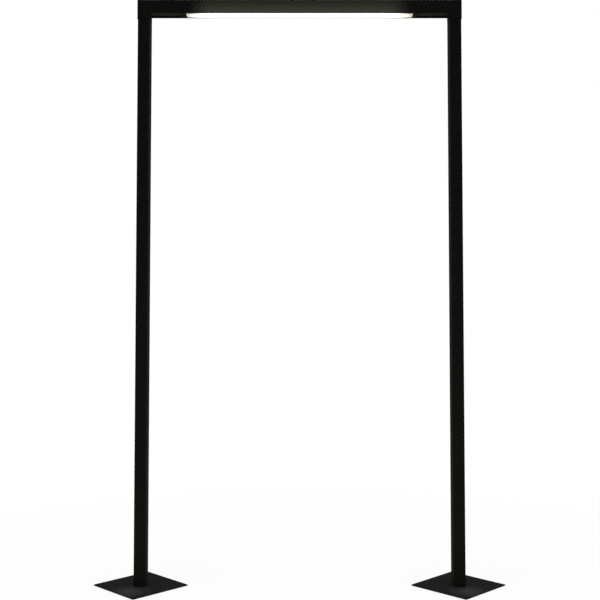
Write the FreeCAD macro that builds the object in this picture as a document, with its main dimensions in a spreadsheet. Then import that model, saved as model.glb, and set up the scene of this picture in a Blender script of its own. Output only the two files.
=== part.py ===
import FreeCAD, Part
import math
import os
import Sketcher

Vector = FreeCAD.Vector
Rotation = FreeCAD.Rotation
Constraint = Sketcher.Constraint

# Gate-shaped outdoor floor lamp: two posts on turned plates and a beam with a light window.
# Front is -Y, up is +Z, and the origin lies on the floor midway between the posts.

# Sizes in millimetres, with angles in degrees
SIZES = {
    # Whole lamp
    "overall_width": 1117,
    "overall_height": 2000,
    # Posts
    "post_width": 40,
    "post_depth": 60,
    "post_wall": 2,
    "tube_corner_radius": 1.5,
    # Base plates and their pads
    "plate_side": 225,
    "plate_thickness": 4,
    "plate_turn": 45,
    "plate_corner_radius": 1.5,
    "plate_chamfer": 0.6,
    "pad_diameter": 30,
    "pad_thickness": 1,
    "pad_inset": 36,
    # Blocks that join posts and plates
    "foot_block_height": 36,
    "base_screw_spacing": 32,
    "foot_screw_rise": 18,
    "foot_screw_spacing": 18,
    # Clearances on each side
    "insert_clearance": 0.2,
    "hole_clearance": 0.3,
    "thread_clearance": 0.1,
    # Beam and its end caps
    "beam_height": 48,
    "beam_wall": 2,
    "groove_depth": 7.5,
    "end_cap_thickness": 2,
    "end_cap_rim_depth": 8,
    "end_cap_rim_wall": 2,
    # Corner connectors
    "collar_drop": 19,
    "collar_step": 1.5,
    "spigot_length": 80,
    "spigot_wall": 4,
    "spigot_rear_wall": 12,
    "spigot_clearance": 0.3,
    "spigot_chamfer": 1.5,
    "key_groove_width": 12,
    "key_groove_depth": 7,
    "key_groove_lead": 10,
    "corner_screw_spacing": 34,
    "cable_bore": 14,
    # Clamping of the spigots in the posts
    "clamp_first_drop": 22,
    "clamp_pitch": 36,
    "clamp_tip_gap": 0.1,
    "rivet_body": 9,
    "rivet_flange": 11,
    "rivet_flange_thickness": 1,
    "rivet_length": 7,
    # Light channel
    "window_length": 784,
    "window_end_gap": 0.2,
    "slot_clearance": 0.5,
    "profile_width": 38,
    "profile_wall": 1.6,
    "profile_roof": 2.5,
    "profile_rise": 16,
    "flange_width": 7,
    "flange_thickness": 1.7,
    "gasket_thickness": 0.6,
    "profile_screw_pitch": 220,
    # Lens and its ends
    "lens_wall": 1.5,
    "lens_edge": 6.7,
    "lens_drop": 7.3,
    "lens_thickness": 1.4,
    "lens_clearance": 0.3,
    "lens_leg_rise": 6,
    "lens_leg_wall": 1.4,
    "lens_end_length": 16,
    "lens_end_tongue": 4,
    "lens_end_screw_inset": 10.5,
    "lens_end_screw_spacing": 28,
    "lens_end_screw_seat": 5,
    # Boards and emitters
    "board_count": 3,
    "board_margin": 6,
    "board_gap": 1,
    "board_width": 26,
    "board_thickness": 1.6,
    "emitters_per_board": 18,
    "emitter_side": 3,
    "emitter_height": 0.8,
    # Gear on the back of the light channel
    "driver_length": 190,
    "driver_width": 40,
    "driver_height": 18,
    "driver_offset": 150,
    "driver_corner_radius": 2,
    "driver_ear_length": 12,
    "driver_ear_width": 10,
    "driver_ear_thickness": 3,
    "terminal_length": 40,
    "terminal_width": 36,
    "terminal_height": 14,
    "terminal_offset": 80,
    "terminal_well": 6,
    "terminal_well_depth": 5,
    "terminal_well_pitch": 11,
    # Cables
    "lead_diameter": 5,
    "lead_spacing": 7,
    "lead_run_gap": 20,
    "lead_bend": 16,
    "head_lead_bend": 17,
    "gear_lead_rise": 5,
    "gear_lead_side": 9,
    "gear_lead_bend": 6,
    "led_lead_reach": 55,
    "grommet_flange": 17,
    "grommet_lip": 1.6,
    # Plug-in contact between head and right post
    "dock_width": 22,
    "dock_depth": 28,
    "dock_plug_height": 24,
    "dock_boss_height": 8,
    "dock_gap": 0.4,
    "dock_pin_diameter": 3,
    "dock_pin_grip": 8,
    "dock_pin_reach": 14,
    "dock_pin_spacing": 12,
    "dock_pin_room": 2,
    "dock_bridge_gap": 4,
    "dock_bridge_thickness": 12,
    "dock_screw_spacing": 18,
    # Push button on the rear of the right post
    "switch_level": 1050,
    "switch_barrel": 16,
    "switch_barrel_length": 28,
    "switch_bezel": 20,
    "switch_bezel_thickness": 2.2,
    "switch_bezel_chamfer": 0.6,
    "switch_bore_depth": 12,
    "switch_nut": 19,
    "switch_nut_thickness": 3,
    "button_diameter": 12,
    "button_length": 11,
    "button_proud": 2,
    "button_chamfer": 0.5,
    "seal_thickness": 0.8,
    "seal_inset": 0.2,
    # Supply socket on the rear of the right post
    "inlet_level": 100,
    "inlet_barrel": 12,
    "inlet_barrel_length": 16,
    "inlet_flange": 19,
    "inlet_flange_thickness": 2,
    "inlet_collar_length": 10,
    "inlet_rim_wall": 1.4,
    "inlet_rim_depth": 1,
    "inlet_nut": 16,
    "inlet_nut_thickness": 3,
    "contact_diameter": 2,
    "contact_bore": 1.2,
    "contact_length": 8,
    "contact_spacing": 5,
    "contact_clearance": 0.05,
    # Countersunk screws below the plates
    "base_screw_diameter": 6,
    "base_screw_head": 12,
    "base_screw_length": 24,
    "base_screw_socket": 4,
    # Button head screws behind the foot blocks
    "foot_screw_diameter": 5,
    "foot_screw_head": 9.5,
    "foot_screw_head_height": 2.7,
    "foot_screw_length": 14,
    "foot_screw_socket": 3,
    # Grub screws in the rivet nuts
    "clamp_screw_diameter": 6,
    "clamp_screw_length": 10,
    "clamp_screw_socket": 3,
    # Cap screws between beam and corner connectors
    "corner_screw_diameter": 8,
    "corner_screw_head": 13,
    "corner_screw_head_height": 8,
    "corner_screw_length": 18,
    "corner_screw_socket": 6,
    # Countersunk screws in the flanges of the light channel
    "profile_screw_diameter": 3,
    "profile_screw_head": 5.6,
    "profile_screw_length": 7,
    "profile_screw_socket": 2,
    # Button head screws in the lens ends
    "lens_screw_diameter": 3,
    "lens_screw_head": 5.7,
    "lens_screw_head_height": 1.6,
    "lens_screw_length": 10,
    "lens_screw_socket": 2,
    # Button head screws of the contact bridge
    "dock_screw_diameter": 4,
    "dock_screw_head": 7.6,
    "dock_screw_head_height": 2.2,
    "dock_screw_length": 12,
    "dock_screw_socket": 2.5,
    # Button head screws of the driver
    "driver_screw_diameter": 4,
    "driver_screw_head": 7.6,
    "driver_screw_head_height": 2.2,
    "driver_screw_length": 5,
    "driver_screw_socket": 2.5,
    # Shared by all screw heads
    "screw_edge_chamfer": 0.3,
    "screw_socket_depth": 1.6,
}

doc = FreeCAD.newDocument("outdoor_floor_lamp")
sheet = doc.addObject("Spreadsheet::Sheet", "size")
for row, (alias, value) in enumerate(SIZES.items(), start=1):
    sheet.set(f"A{row}", alias.replace("_", " "))
    sheet.set(f"B{row}", str(value))
    sheet.setAlias(f"B{row}", alias)
trial = doc.addObject("Spreadsheet::Sheet", "trial")
doc.recompute()

# Levels and places that several pieces share
SIDES = {"left": "-1", "right": "1"}
POST_X = "((size.overall_width - size.post_width) / 2 - size.collar_step)"
REAR = "(size.post_depth / 2)"
BEAM_DEPTH = "(size.post_depth + 2 * size.collar_step)"
PLATE_TOP = "(size.pad_thickness + size.plate_thickness)"
BEAM_UNDER = "(size.overall_height - size.beam_height)"
WEB_UNDER = f"({BEAM_UNDER} + size.groove_depth)"
GROOVE_WIDTH = f"({BEAM_DEPTH} - 2 * size.beam_wall)"
POST_TOP = f"({BEAM_UNDER} - size.collar_drop)"
POST_LENGTH = f"({POST_TOP} - {PLATE_TOP})"
POST_INNER_WIDTH = "(size.post_width - 2 * size.post_wall)"
POST_INNER_DEPTH = "(size.post_depth - 2 * size.post_wall)"
SPIGOT_WIDTH = f"({POST_INNER_WIDTH} - 2 * size.spigot_clearance)"
SPIGOT_DEPTH = f"({POST_INNER_DEPTH} - 2 * size.spigot_clearance)"
FOOT_SCREW_LEVEL = f"({PLATE_TOP} + size.foot_screw_rise)"
CLAMP_LEVELS = (
    f"({POST_TOP} - size.clamp_first_drop)",
    f"({POST_TOP} - size.clamp_first_drop - size.clamp_pitch)",
)
CLAMP_FLOOR = f"({SPIGOT_DEPTH} / 2 - size.key_groove_depth)"
BRIDGE_TOP = f"({POST_TOP} - size.spigot_length - size.dock_bridge_gap)"
DOCK_SCREW_LEVEL = f"({BRIDGE_TOP} - size.dock_bridge_thickness / 2)"
DOCK_FACE = f"({POST_TOP} - size.dock_plug_height)"
FLANGE_HALF = "(size.profile_width / 2 + size.flange_width)"
FLANGE_BOTTOM = "(size.gasket_thickness + size.flange_thickness)"
PROFILE_SCREW_Y = "((size.profile_width + size.flange_width) / 2)"
PROFILE_SCREW_XS = [f"({step} * size.profile_screw_pitch)" for step in (-1.5, -0.5, 0.5, 1.5)]
SLOT_HALF_LENGTH = "(size.window_length / 2 + size.lens_end_tongue + size.slot_clearance)"
SLOT_HALF_WIDTH = "(size.profile_width / 2 + size.slot_clearance)"
LENS_HALF = f"({FLANGE_HALF} + size.lens_clearance + size.lens_wall)"
LENS_SAG = "(size.lens_drop - size.lens_edge)"
LENS_SCREW_X = "(size.window_length / 2 + size.lens_end_screw_inset)"
GEAR_Z = f"({WEB_UNDER} + size.profile_rise)"
DRIVER_EAR_X = "((size.driver_length + size.driver_ear_length) / 2)"
LED_LEAD_X = "(-size.driver_offset - size.driver_length / 2 - size.led_lead_reach)"

# Turns that carry a screw's head from +Z to another direction
HEAD_UP = Rotation()
HEAD_DOWN = Rotation(Vector(1, 0, 0), 180)
HEAD_REAR = Rotation(Vector(1, 0, 0), -90)

pieces = []


def number(formula):
    """Value of a formula at the present sizes."""
    trial.set("A1", f"={formula}")
    trial.recompute()
    return float(trial.get("A1"))


def bind(thing, formulas):
    """Tie properties of an object to formulas of the sheet."""
    for path, formula in formulas.items():
        thing.setExpression(path, formula)


def add_piece(thing, label, x="0", y="0", z="0"):
    """Name an object, place it and keep it for export."""
    thing.Label = label
    bind(thing, {"Placement.Base.x": x, "Placement.Base.y": y, "Placement.Base.z": z})
    pieces.append(thing)
    return thing


def new_body(label, x="0", y="0", z="0"):
    return add_piece(doc.addObject("PartDesign::Body", label), label, x, y, z)


def sketch_on(body, role, offset="0"):
    """Empty sketch on one of the body's own planes, moved along the plane's normal."""
    plane = next(item for item in body.Origin.OriginFeatures if item.Role == role)
    sketch = body.newObject("Sketcher::SketchObject", "sketch")
    sketch.AttachmentSupport = [(plane, "")]
    sketch.MapMode = "FlatFace"
    bind(sketch, {"AttachmentOffset.Base.z": offset})
    return sketch


def level_sketch(body, z="0"):
    """Sketch seen from above at a height of the body."""
    return sketch_on(body, "XY_Plane", z)


def cross_sketch(body, x="0"):
    """Sketch across the beam's length: its axes are Y and Z."""
    return sketch_on(body, "YZ_Plane", x)


def front_sketch(body, y="0"):
    """Upright sketch facing the front: its axes are X and Z."""
    return sketch_on(body, "XZ_Plane", f"-({y})")


def fix_point(sketch, geometry, end, u, v):
    """Hold one point of a sketch at two formulas."""
    for kind, axis, formula in (("DistanceX", -2, u), ("DistanceY", -1, v)):
        if formula == "0":
            sketch.addConstraint(Constraint("PointOnObject", geometry, end, axis))
        else:
            value = number(formula)
            index = sketch.addConstraint(Constraint(kind, -1, 1, geometry, end, value))
            sketch.setExpression(f"Constraints[{index}]", formula)


def outline(sketch, corners, arcs=None):
    """Closed outline through corners; an edge in arcs is (sag, radius) and bulges by its sag.

    A positive sag bulges to the right of the way the outline runs.
    """
    arcs = arcs or {}
    points = [Vector(number(u), number(v), 0) for u, v in corners]
    first = sketch.GeometryCount
    count = len(points)
    ends = []
    for edge in range(count):
        start = points[edge]
        stop = points[(edge + 1) % count]
        if edge not in arcs:
            sketch.addGeometry(Part.LineSegment(start, stop), False)
            ends.append((1, 2))
            continue
        sag = number(arcs[edge][0])
        run = (stop - start).normalize()
        middle = (start + stop) / 2 + Vector(run.y, -run.x, 0) * sag
        sketch.addGeometry(Part.Arc(start, middle, stop), False)
        ends.append((1, 2) if sag > 0 else (2, 1))
    for edge in range(count):
        after = (edge + 1) % count
        link = Constraint("Coincident", first + edge, ends[edge][1], first + after, ends[after][0])
        sketch.addConstraint(link)
    for edge, (u, v) in enumerate(corners):
        fix_point(sketch, first + edge, ends[edge][0], u, v)
    for edge, (sag, radius) in arcs.items():
        index = sketch.addConstraint(Constraint("Radius", first + edge, number(radius)))
        sketch.setExpression(f"Constraints[{index}]", radius)


def rectangle(sketch, width, height, u="0", v="0"):
    left = f"({u}) - ({width}) / 2"
    right = f"({u}) + ({width}) / 2"
    low = f"({v}) - ({height}) / 2"
    high = f"({v}) + ({height}) / 2"
    outline(sketch, [(left, low), (right, low), (right, high), (left, high)])


def hexagon(sketch, flats, u="0", v="0"):
    corners = []
    for angle in range(0, 360, 60):
        reach = f"{flats} / sqrt(3)"
        corners.append((f"({u}) + {reach} * cos({angle})", f"({v}) + {reach} * sin({angle})"))
    outline(sketch, corners)


def circle(sketch, diameter, u="0", v="0"):
    centre = Vector(number(u), number(v), 0)
    index = sketch.addGeometry(Part.Circle(centre, Vector(0, 0, 1), number(diameter) / 2), False)
    fix_point(sketch, index, 3, u, v)
    size_index = sketch.addConstraint(Constraint("Diameter", index, number(diameter)))
    sketch.setExpression(f"Constraints[{size_index}]", diameter)


def pad(body, sketch, length, both_ways=False):
    """Solid from a sketch, along its normal or spread evenly on both sides."""
    feature = body.newObject("PartDesign::Pad", "pad")
    feature.Profile = sketch
    feature.Midplane = both_ways
    bind(feature, {"Length": length})
    doc.recompute()


def cut(body, sketch, length):
    """Cut spread evenly on both sides of a sketch."""
    before = body.Shape.Volume
    feature = body.newObject("PartDesign::Pocket", "cut")
    feature.Profile = sketch
    feature.Midplane = True
    bind(feature, {"Length": length})
    doc.recompute()
    if not body.Shape.Volume < before:
        raise RuntimeError(f"a cut in {body.Label} takes nothing away")


def turn(body, sketch):
    """Round solid about the upright axis of a sketch."""
    feature = body.newObject("PartDesign::Revolution", "turned")
    feature.Profile = sketch
    feature.ReferenceAxis = (sketch, ["V_Axis"])
    feature.Angle = 360
    doc.recompute()


def edge_names(body, wanted):
    return [f"Edge{i}" for i, edge in enumerate(body.Tip.Shape.Edges, start=1) if wanted(edge)]


def round_edges(body, wanted, radius):
    base = body.Tip
    names = edge_names(body, wanted)
    feature = body.newObject("PartDesign::Fillet", "round")
    feature.Base = (base, names)
    bind(feature, {"Radius": radius})
    doc.recompute()


def bevel_edges(body, wanted, size):
    base = body.Tip
    names = edge_names(body, wanted)
    feature = body.newObject("PartDesign::Chamfer", "bevel")
    feature.Base = (base, names)
    bind(feature, {"Size": size})
    doc.recompute()


def runs_along(axis):
    """Test for straight edges along X, Y or Z."""
    def wanted(edge):
        if not isinstance(edge.Curve, Part.Line):
            return False
        return abs(edge.Curve.Direction.dot(axis)) > 0.999
    return wanted


def lies_at(axis, level):
    """Test for edges that lie wholly at one level along an axis."""
    def wanted(edge):
        return all(abs(vertex.Point.dot(axis) - level) < 0.001 for vertex in edge.Vertexes)
    return wanted


def round_hole_at(axis, level, radius):
    """Test for the rims of round holes of one radius at one level."""
    flat = lies_at(axis, level)
    def wanted(edge):
        return flat(edge) and isinstance(edge.Curve, Part.Circle) and abs(edge.Curve.Radius - radius) < 0.001
    return wanted


AXIS_X = Vector(1, 0, 0)
AXIS_Y = Vector(0, 1, 0)
AXIS_Z = Vector(0, 0, 1)


def screw(family, head):
    """Pattern screw on the Z axis, its seat at the origin; a countersunk head ends there."""
    body = doc.addObject("PartDesign::Body", family)
    shank = f"size.{family}_diameter / 2"
    tip = f"-size.{family}_length"
    profile = sketch_on(body, "XZ_Plane")
    top = "0"
    if head == "none":
        outline(profile, [("0", tip), (shank, tip), (shank, "0"), ("0", "0")])
    elif head == "countersunk":
        rim = f"size.{family}_head / 2"
        neck = f"-(size.{family}_head - size.{family}_diameter) / 2"
        outline(profile, [("0", tip), (shank, tip), (shank, neck), (rim, "0"), ("0", "0")])
    else:
        rim = f"size.{family}_head / 2"
        top = f"size.{family}_head_height"
        corners = [("0", tip), (shank, tip), (shank, "0"), (rim, "0"), (rim, top), ("0", top)]
        outline(profile, corners)
    turn(body, profile)
    if head == "raised":
        bevel_edges(body, lies_at(AXIS_Z, number(top)), "size.screw_edge_chamfer")
    socket = level_sketch(body, top)
    hexagon(socket, f"size.{family}_socket")
    cut(body, socket, "2 * size.screw_socket_depth")
    return body


def copies(label, pattern, places, facing=HEAD_UP):
    """One piece made of equal separate solids, a copy of the pattern at each place."""
    links = []
    for x, y, z in places:
        link = doc.addObject("App::Link", "copy")
        link.LinkedObject = pattern
        link.Placement = FreeCAD.Placement(Vector(), facing)
        bind(link, {"Placement.Base.x": x, "Placement.Base.y": y, "Placement.Base.z": z})
        links.append(link)
    group = doc.addObject("Part::Compound", label)
    group.Links = links
    doc.recompute()
    return add_piece(group, label)


def cable(label, places, bend):
    """Round cable through places, with equal bends where its straight runs meet."""
    points = [Vector(number(x), number(y), number(z)) for x, y, z in places]
    radius = number(bend)
    edges = []
    start = points[0]
    for before, corner, after in zip(points, points[1:], points[2:]):
        back = (before - corner).normalize()
        ahead = (after - corner).normalize()
        half = back.getAngle(ahead) / 2
        inset = radius / math.tan(half)
        centre = corner + (back + ahead).normalize() * (radius / math.sin(half))
        middle = centre + (corner - centre).normalize() * radius
        edges.append(Part.LineSegment(start, corner + back * inset).toShape())
        edges.append(Part.Arc(corner + back * inset, middle, corner + ahead * inset).toShape())
        start = corner + ahead * inset
    edges.append(Part.LineSegment(start, points[-1]).toShape())
    path = Part.Wire(edges)
    ring = Part.Circle(points[0], points[1] - points[0], number("size.lead_diameter / 2"))
    solid = path.makePipeShell([Part.Wire(ring.toShape())], True, False)
    expected = number("pi * size.lead_diameter ^ 2 / 4") * path.Length
    if abs(solid.Volume / expected - 1) > 0.01:
        raise RuntimeError(f"{label} has {solid.Volume:.0f} mm3 instead of {expected:.0f}")
    thing = doc.addObject("Part::Feature", label)
    thing.Shape = solid
    return add_piece(thing, label)


def build_foot(side, sign):
    """Base plate, pads, block and screws of one post."""
    x = f"{sign} * {POST_X}"
    plate = new_body(f"base_plate_{side}", x, "0", "size.pad_thickness")
    bind(plate, {"Placement.Rotation.Angle": "size.plate_turn"})
    face = level_sketch(plate)
    rectangle(face, "size.plate_side", "size.plate_side")
    pad(plate, face, "size.plate_thickness")
    round_edges(plate, runs_along(AXIS_Z), "size.plate_corner_radius")
    top = number("size.plate_thickness")
    low_rim = lies_at(AXIS_Z, 0)
    high_rim = lies_at(AXIS_Z, top)
    bevel_edges(plate, lambda edge: low_rim(edge) or high_rim(edge), "size.plate_chamfer")
    holes = level_sketch(plate, "size.plate_thickness / 2")
    hole = "size.base_screw_diameter + 2 * size.hole_clearance"
    for end in ("-1", "1"):
        u = f"{end} * size.base_screw_spacing / 2 * sin(size.plate_turn)"
        v = f"{end} * size.base_screw_spacing / 2 * cos(size.plate_turn)"
        circle(holes, hole, u, v)
    cut(plate, holes, "2 * size.plate_thickness")
    rims = round_hole_at(AXIS_Z, 0, number(hole) / 2)
    bevel_edges(plate, rims, "(size.base_screw_head - size.base_screw_diameter) / 2")

    pads = []
    for quarter in range(4):
        disc = doc.addObject("Part::Cylinder", "pad")
        reach = "(size.plate_side / sqrt(2) - size.pad_inset)"
        angle = f"(size.plate_turn + {45 + 90 * quarter})"
        bind(disc, {
            "Radius": "size.pad_diameter / 2",
            "Height": "size.pad_thickness",
            "Placement.Base.x": f"{x} + {reach} * cos({angle})",
            "Placement.Base.y": f"{reach} * sin({angle})",
        })
        pads.append(disc)
    group = doc.addObject("Part::Compound", f"foot_pads_{side}")
    group.Links = pads
    doc.recompute()
    add_piece(group, f"foot_pads_{side}")

    block = new_body(f"foot_block_{side}", x, "0", PLATE_TOP)
    face = level_sketch(block)
    width = f"{POST_INNER_WIDTH} - 2 * size.insert_clearance"
    depth = f"{POST_INNER_DEPTH} - 2 * size.insert_clearance"
    rectangle(face, width, depth)
    pad(block, face, "size.foot_block_height")
    holes = level_sketch(block, "size.foot_block_height / 2")
    for end in ("-1", "1"):
        spot = f"{end} * size.base_screw_spacing / 2"
        circle(holes, "size.base_screw_diameter + 2 * size.thread_clearance", "0", spot)
    cut(block, holes, "size.foot_block_height")
    holes = front_sketch(block, f"({depth}) / 2")
    for end in ("-1", "1"):
        spot = f"{end} * size.foot_screw_spacing / 2"
        circle(holes, "size.foot_screw_diameter + 2 * size.thread_clearance", spot, "size.foot_screw_rise")
    cut(block, holes, "2 * size.foot_screw_length")

    places = [(x, f"{end} * size.base_screw_spacing / 2", "size.pad_thickness") for end in ("-1", "1")]
    copies(f"base_screws_{side}", base_screw, places, HEAD_DOWN)
    places = []
    for end in ("-1", "1"):
        places.append((f"{x} + {end} * size.foot_screw_spacing / 2", REAR, FOOT_SCREW_LEVEL))
    copies(f"foot_screws_{side}", foot_screw, places, HEAD_REAR)


def build_post(side, sign):
    """Tube of one post with the holes in its rear wall."""
    post = new_body(f"post_{side}", f"{sign} * {POST_X}", "0", PLATE_TOP)
    face = level_sketch(post)
    rectangle(face, "size.post_width", "size.post_depth")
    pad(post, face, POST_LENGTH)
    round_edges(post, runs_along(AXIS_Z), "size.tube_corner_radius")
    hollow = level_sketch(post, f"{POST_LENGTH} / 2")
    rectangle(hollow, POST_INNER_WIDTH, POST_INNER_DEPTH)
    cut(post, hollow, POST_LENGTH)
    holes = front_sketch(post, f"{REAR} - size.post_wall / 2")
    for end in ("-1", "1"):
        spot = f"{end} * size.foot_screw_spacing / 2"
        hole = "size.foot_screw_diameter + 2 * size.hole_clearance"
        circle(holes, hole, spot, f"{FOOT_SCREW_LEVEL} - {PLATE_TOP}")
    for level in CLAMP_LEVELS:
        circle(holes, "size.rivet_body + 2 * size.thread_clearance", "0", f"{level} - {PLATE_TOP}")
    if side == "right":
        for end in ("-1", "1"):
            spot = f"{end} * size.dock_screw_spacing / 2"
            hole = "size.dock_screw_diameter + 2 * size.hole_clearance"
            circle(holes, hole, spot, f"{DOCK_SCREW_LEVEL} - {PLATE_TOP}")
        hole = "size.switch_barrel + 2 * size.hole_clearance"
        circle(holes, hole, "0", f"size.switch_level - {PLATE_TOP}")
        hole = "size.inlet_barrel + 2 * size.hole_clearance"
        circle(holes, hole, "0", f"size.inlet_level - {PLATE_TOP}")
    cut(post, holes, "2 * size.post_wall")


def build_corner(side, sign):
    """Collar with its spigot and tenon, the screws from the beam and the clamping in the post."""
    x = f"{sign} * {POST_X}"
    corner = new_body(f"corner_connector_{side}", x, "0", BEAM_UNDER)
    collar = level_sketch(corner, "-size.collar_drop")
    outward = f"{sign} * size.collar_step / 2"
    rectangle(collar, "size.post_width + size.collar_step", BEAM_DEPTH, outward, "0")
    pad(corner, collar, "size.collar_drop")
    round_edges(corner, runs_along(AXIS_Z), "size.tube_corner_radius")
    tenon = level_sketch(corner)
    tenon_length = "size.post_width + 2 * size.collar_step - 2 * size.end_cap_thickness"
    rectangle(tenon, tenon_length, f"{GROOVE_WIDTH} - 2 * size.insert_clearance")
    pad(corner, tenon, "size.groove_depth")
    spigot_bottom = "-(size.collar_drop + size.spigot_length)"
    spigot = level_sketch(corner, spigot_bottom)
    rectangle(spigot, SPIGOT_WIDTH, SPIGOT_DEPTH)
    pad(corner, spigot, "size.spigot_length")
    bevel_edges(corner, lies_at(AXIS_Z, number(spigot_bottom)), "size.spigot_chamfer")
    hollow = level_sketch(corner, "-(size.collar_drop + size.spigot_length / 2)")
    hollow_depth = f"{SPIGOT_DEPTH} - size.spigot_wall - size.spigot_rear_wall"
    middle = "(size.spigot_wall - size.spigot_rear_wall) / 2"
    rectangle(hollow, f"{SPIGOT_WIDTH} - 2 * size.spigot_wall", hollow_depth, "0", middle)
    cut(corner, hollow, "size.spigot_length")
    groove_height = "(size.spigot_length - size.clamp_first_drop + size.key_groove_lead)"
    groove = level_sketch(corner, f"{spigot_bottom} + {groove_height} / 2")
    rectangle(groove, "size.key_groove_width", "2 * size.key_groove_depth", "0", f"{SPIGOT_DEPTH} / 2")
    cut(corner, groove, groove_height)
    holes = level_sketch(corner, "(size.groove_depth - size.collar_drop) / 2")
    circle(holes, "size.cable_bore")
    for end in ("-1", "1"):
        hole = "size.corner_screw_diameter + 2 * size.thread_clearance"
        circle(holes, hole, "0", f"{end} * size.corner_screw_spacing / 2")
    cut(corner, holes, "size.groove_depth + size.collar_drop")

    seat = f"{WEB_UNDER} + size.beam_wall"
    places = [(x, f"{end} * size.corner_screw_spacing / 2", seat) for end in ("-1", "1")]
    copies(f"corner_screws_{side}", corner_screw, places)
    places = [(x, REAR, level) for level in CLAMP_LEVELS]
    copies(f"rivet_nuts_{side}", rivet_nut, places, HEAD_REAR)
    outer_end = f"{CLAMP_FLOOR} + size.clamp_tip_gap + size.clamp_screw_length"
    places = [(x, outer_end, level) for level in CLAMP_LEVELS]
    copies(f"clamp_screws_{side}", clamp_screw, places, HEAD_REAR)


def rivet_nut_pattern():
    """Threaded insert on the Z axis with its flange above the origin."""
    body = doc.addObject("PartDesign::Body", "rivet_nut")
    bore = "size.clamp_screw_diameter / 2 + size.thread_clearance"
    barrel = "size.rivet_body / 2"
    rim = "size.rivet_flange / 2"
    top = "size.rivet_flange_thickness"
    low = "-size.rivet_length"
    profile = sketch_on(body, "XZ_Plane")
    outline(profile, [(bore, low), (barrel, low), (barrel, "0"), (rim, "0"), (rim, top), (bore, top)])
    turn(body, profile)
    bevel_edges(body, round_hole_at(AXIS_Z, number(top), number(rim)), "size.screw_edge_chamfer")
    return body


def build_beam():
    """Beam section with a groove along its underside, and the slot and holes in its web."""
    beam = new_body("beam_tube", "0", "0", BEAM_UNDER)
    length = "size.overall_width - 2 * size.end_cap_thickness"
    face = cross_sketch(beam)
    rectangle(face, BEAM_DEPTH, "size.beam_height", "0", "size.beam_height / 2")
    pad(beam, face, length, both_ways=True)
    round_edges(beam, runs_along(AXIS_X), "size.tube_corner_radius")
    hollow = cross_sketch(beam)
    inner_height = "size.beam_height - size.groove_depth - 2 * size.beam_wall"
    rectangle(hollow, GROOVE_WIDTH, inner_height, "0", "(size.beam_height + size.groove_depth) / 2")
    cut(beam, hollow, length)
    groove = cross_sketch(beam)
    rectangle(groove, GROOVE_WIDTH, "2 * size.groove_depth")
    cut(beam, groove, length)
    holes = level_sketch(beam, "size.groove_depth + size.beam_wall / 2")
    rectangle(holes, f"2 * {SLOT_HALF_LENGTH}", f"2 * {SLOT_HALF_WIDTH}")
    circle(holes, "size.cable_bore", POST_X, "0")
    for sign in SIDES.values():
        for end in ("-1", "1"):
            hole = "size.corner_screw_diameter + 2 * size.hole_clearance"
            circle(holes, hole, f"{sign} * {POST_X}", f"{end} * size.corner_screw_spacing / 2")
            hole = "size.lens_screw_diameter + 2 * size.thread_clearance"
            circle(holes, hole, f"{sign} * {LENS_SCREW_X}", f"{end} * size.lens_end_screw_spacing / 2")
    for spot in PROFILE_SCREW_XS:
        for end in ("-1", "1"):
            hole = "size.profile_screw_diameter + 2 * size.thread_clearance"
            circle(holes, hole, spot, f"{end} * {PROFILE_SCREW_Y}")
    cut(beam, holes, "2 * size.beam_wall")


def build_end_cap(side, sign):
    """Cap pushed into one end of the beam."""
    cap = new_body(f"end_cap_{side}", "0", "0", BEAM_UNDER)
    half = "size.beam_height / 2"
    face = cross_sketch(cap, f"{sign} * (size.overall_width - size.end_cap_thickness) / 2")
    rectangle(face, BEAM_DEPTH, "size.beam_height", "0", half)
    pad(cap, face, "size.end_cap_thickness", both_ways=True)
    round_edges(cap, runs_along(AXIS_X), "size.tube_corner_radius")
    middle = f"{sign} * (size.overall_width / 2 - size.end_cap_thickness - size.end_cap_rim_depth / 2)"
    rim_depth = f"{GROOVE_WIDTH} - 2 * size.insert_clearance"
    rim_height = "size.beam_height - size.groove_depth - 2 * size.beam_wall - 2 * size.insert_clearance"
    rim_level = "(size.beam_height + size.groove_depth) / 2"
    rim = cross_sketch(cap, middle)
    rectangle(rim, rim_depth, rim_height, "0", rim_level)
    room_depth = f"{rim_depth} - 2 * size.end_cap_rim_wall"
    room_height = f"{rim_height} - 2 * size.end_cap_rim_wall"
    rectangle(rim, room_depth, room_height, "0", rim_level)
    pad(cap, rim, "size.end_cap_rim_depth", both_ways=True)


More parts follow.
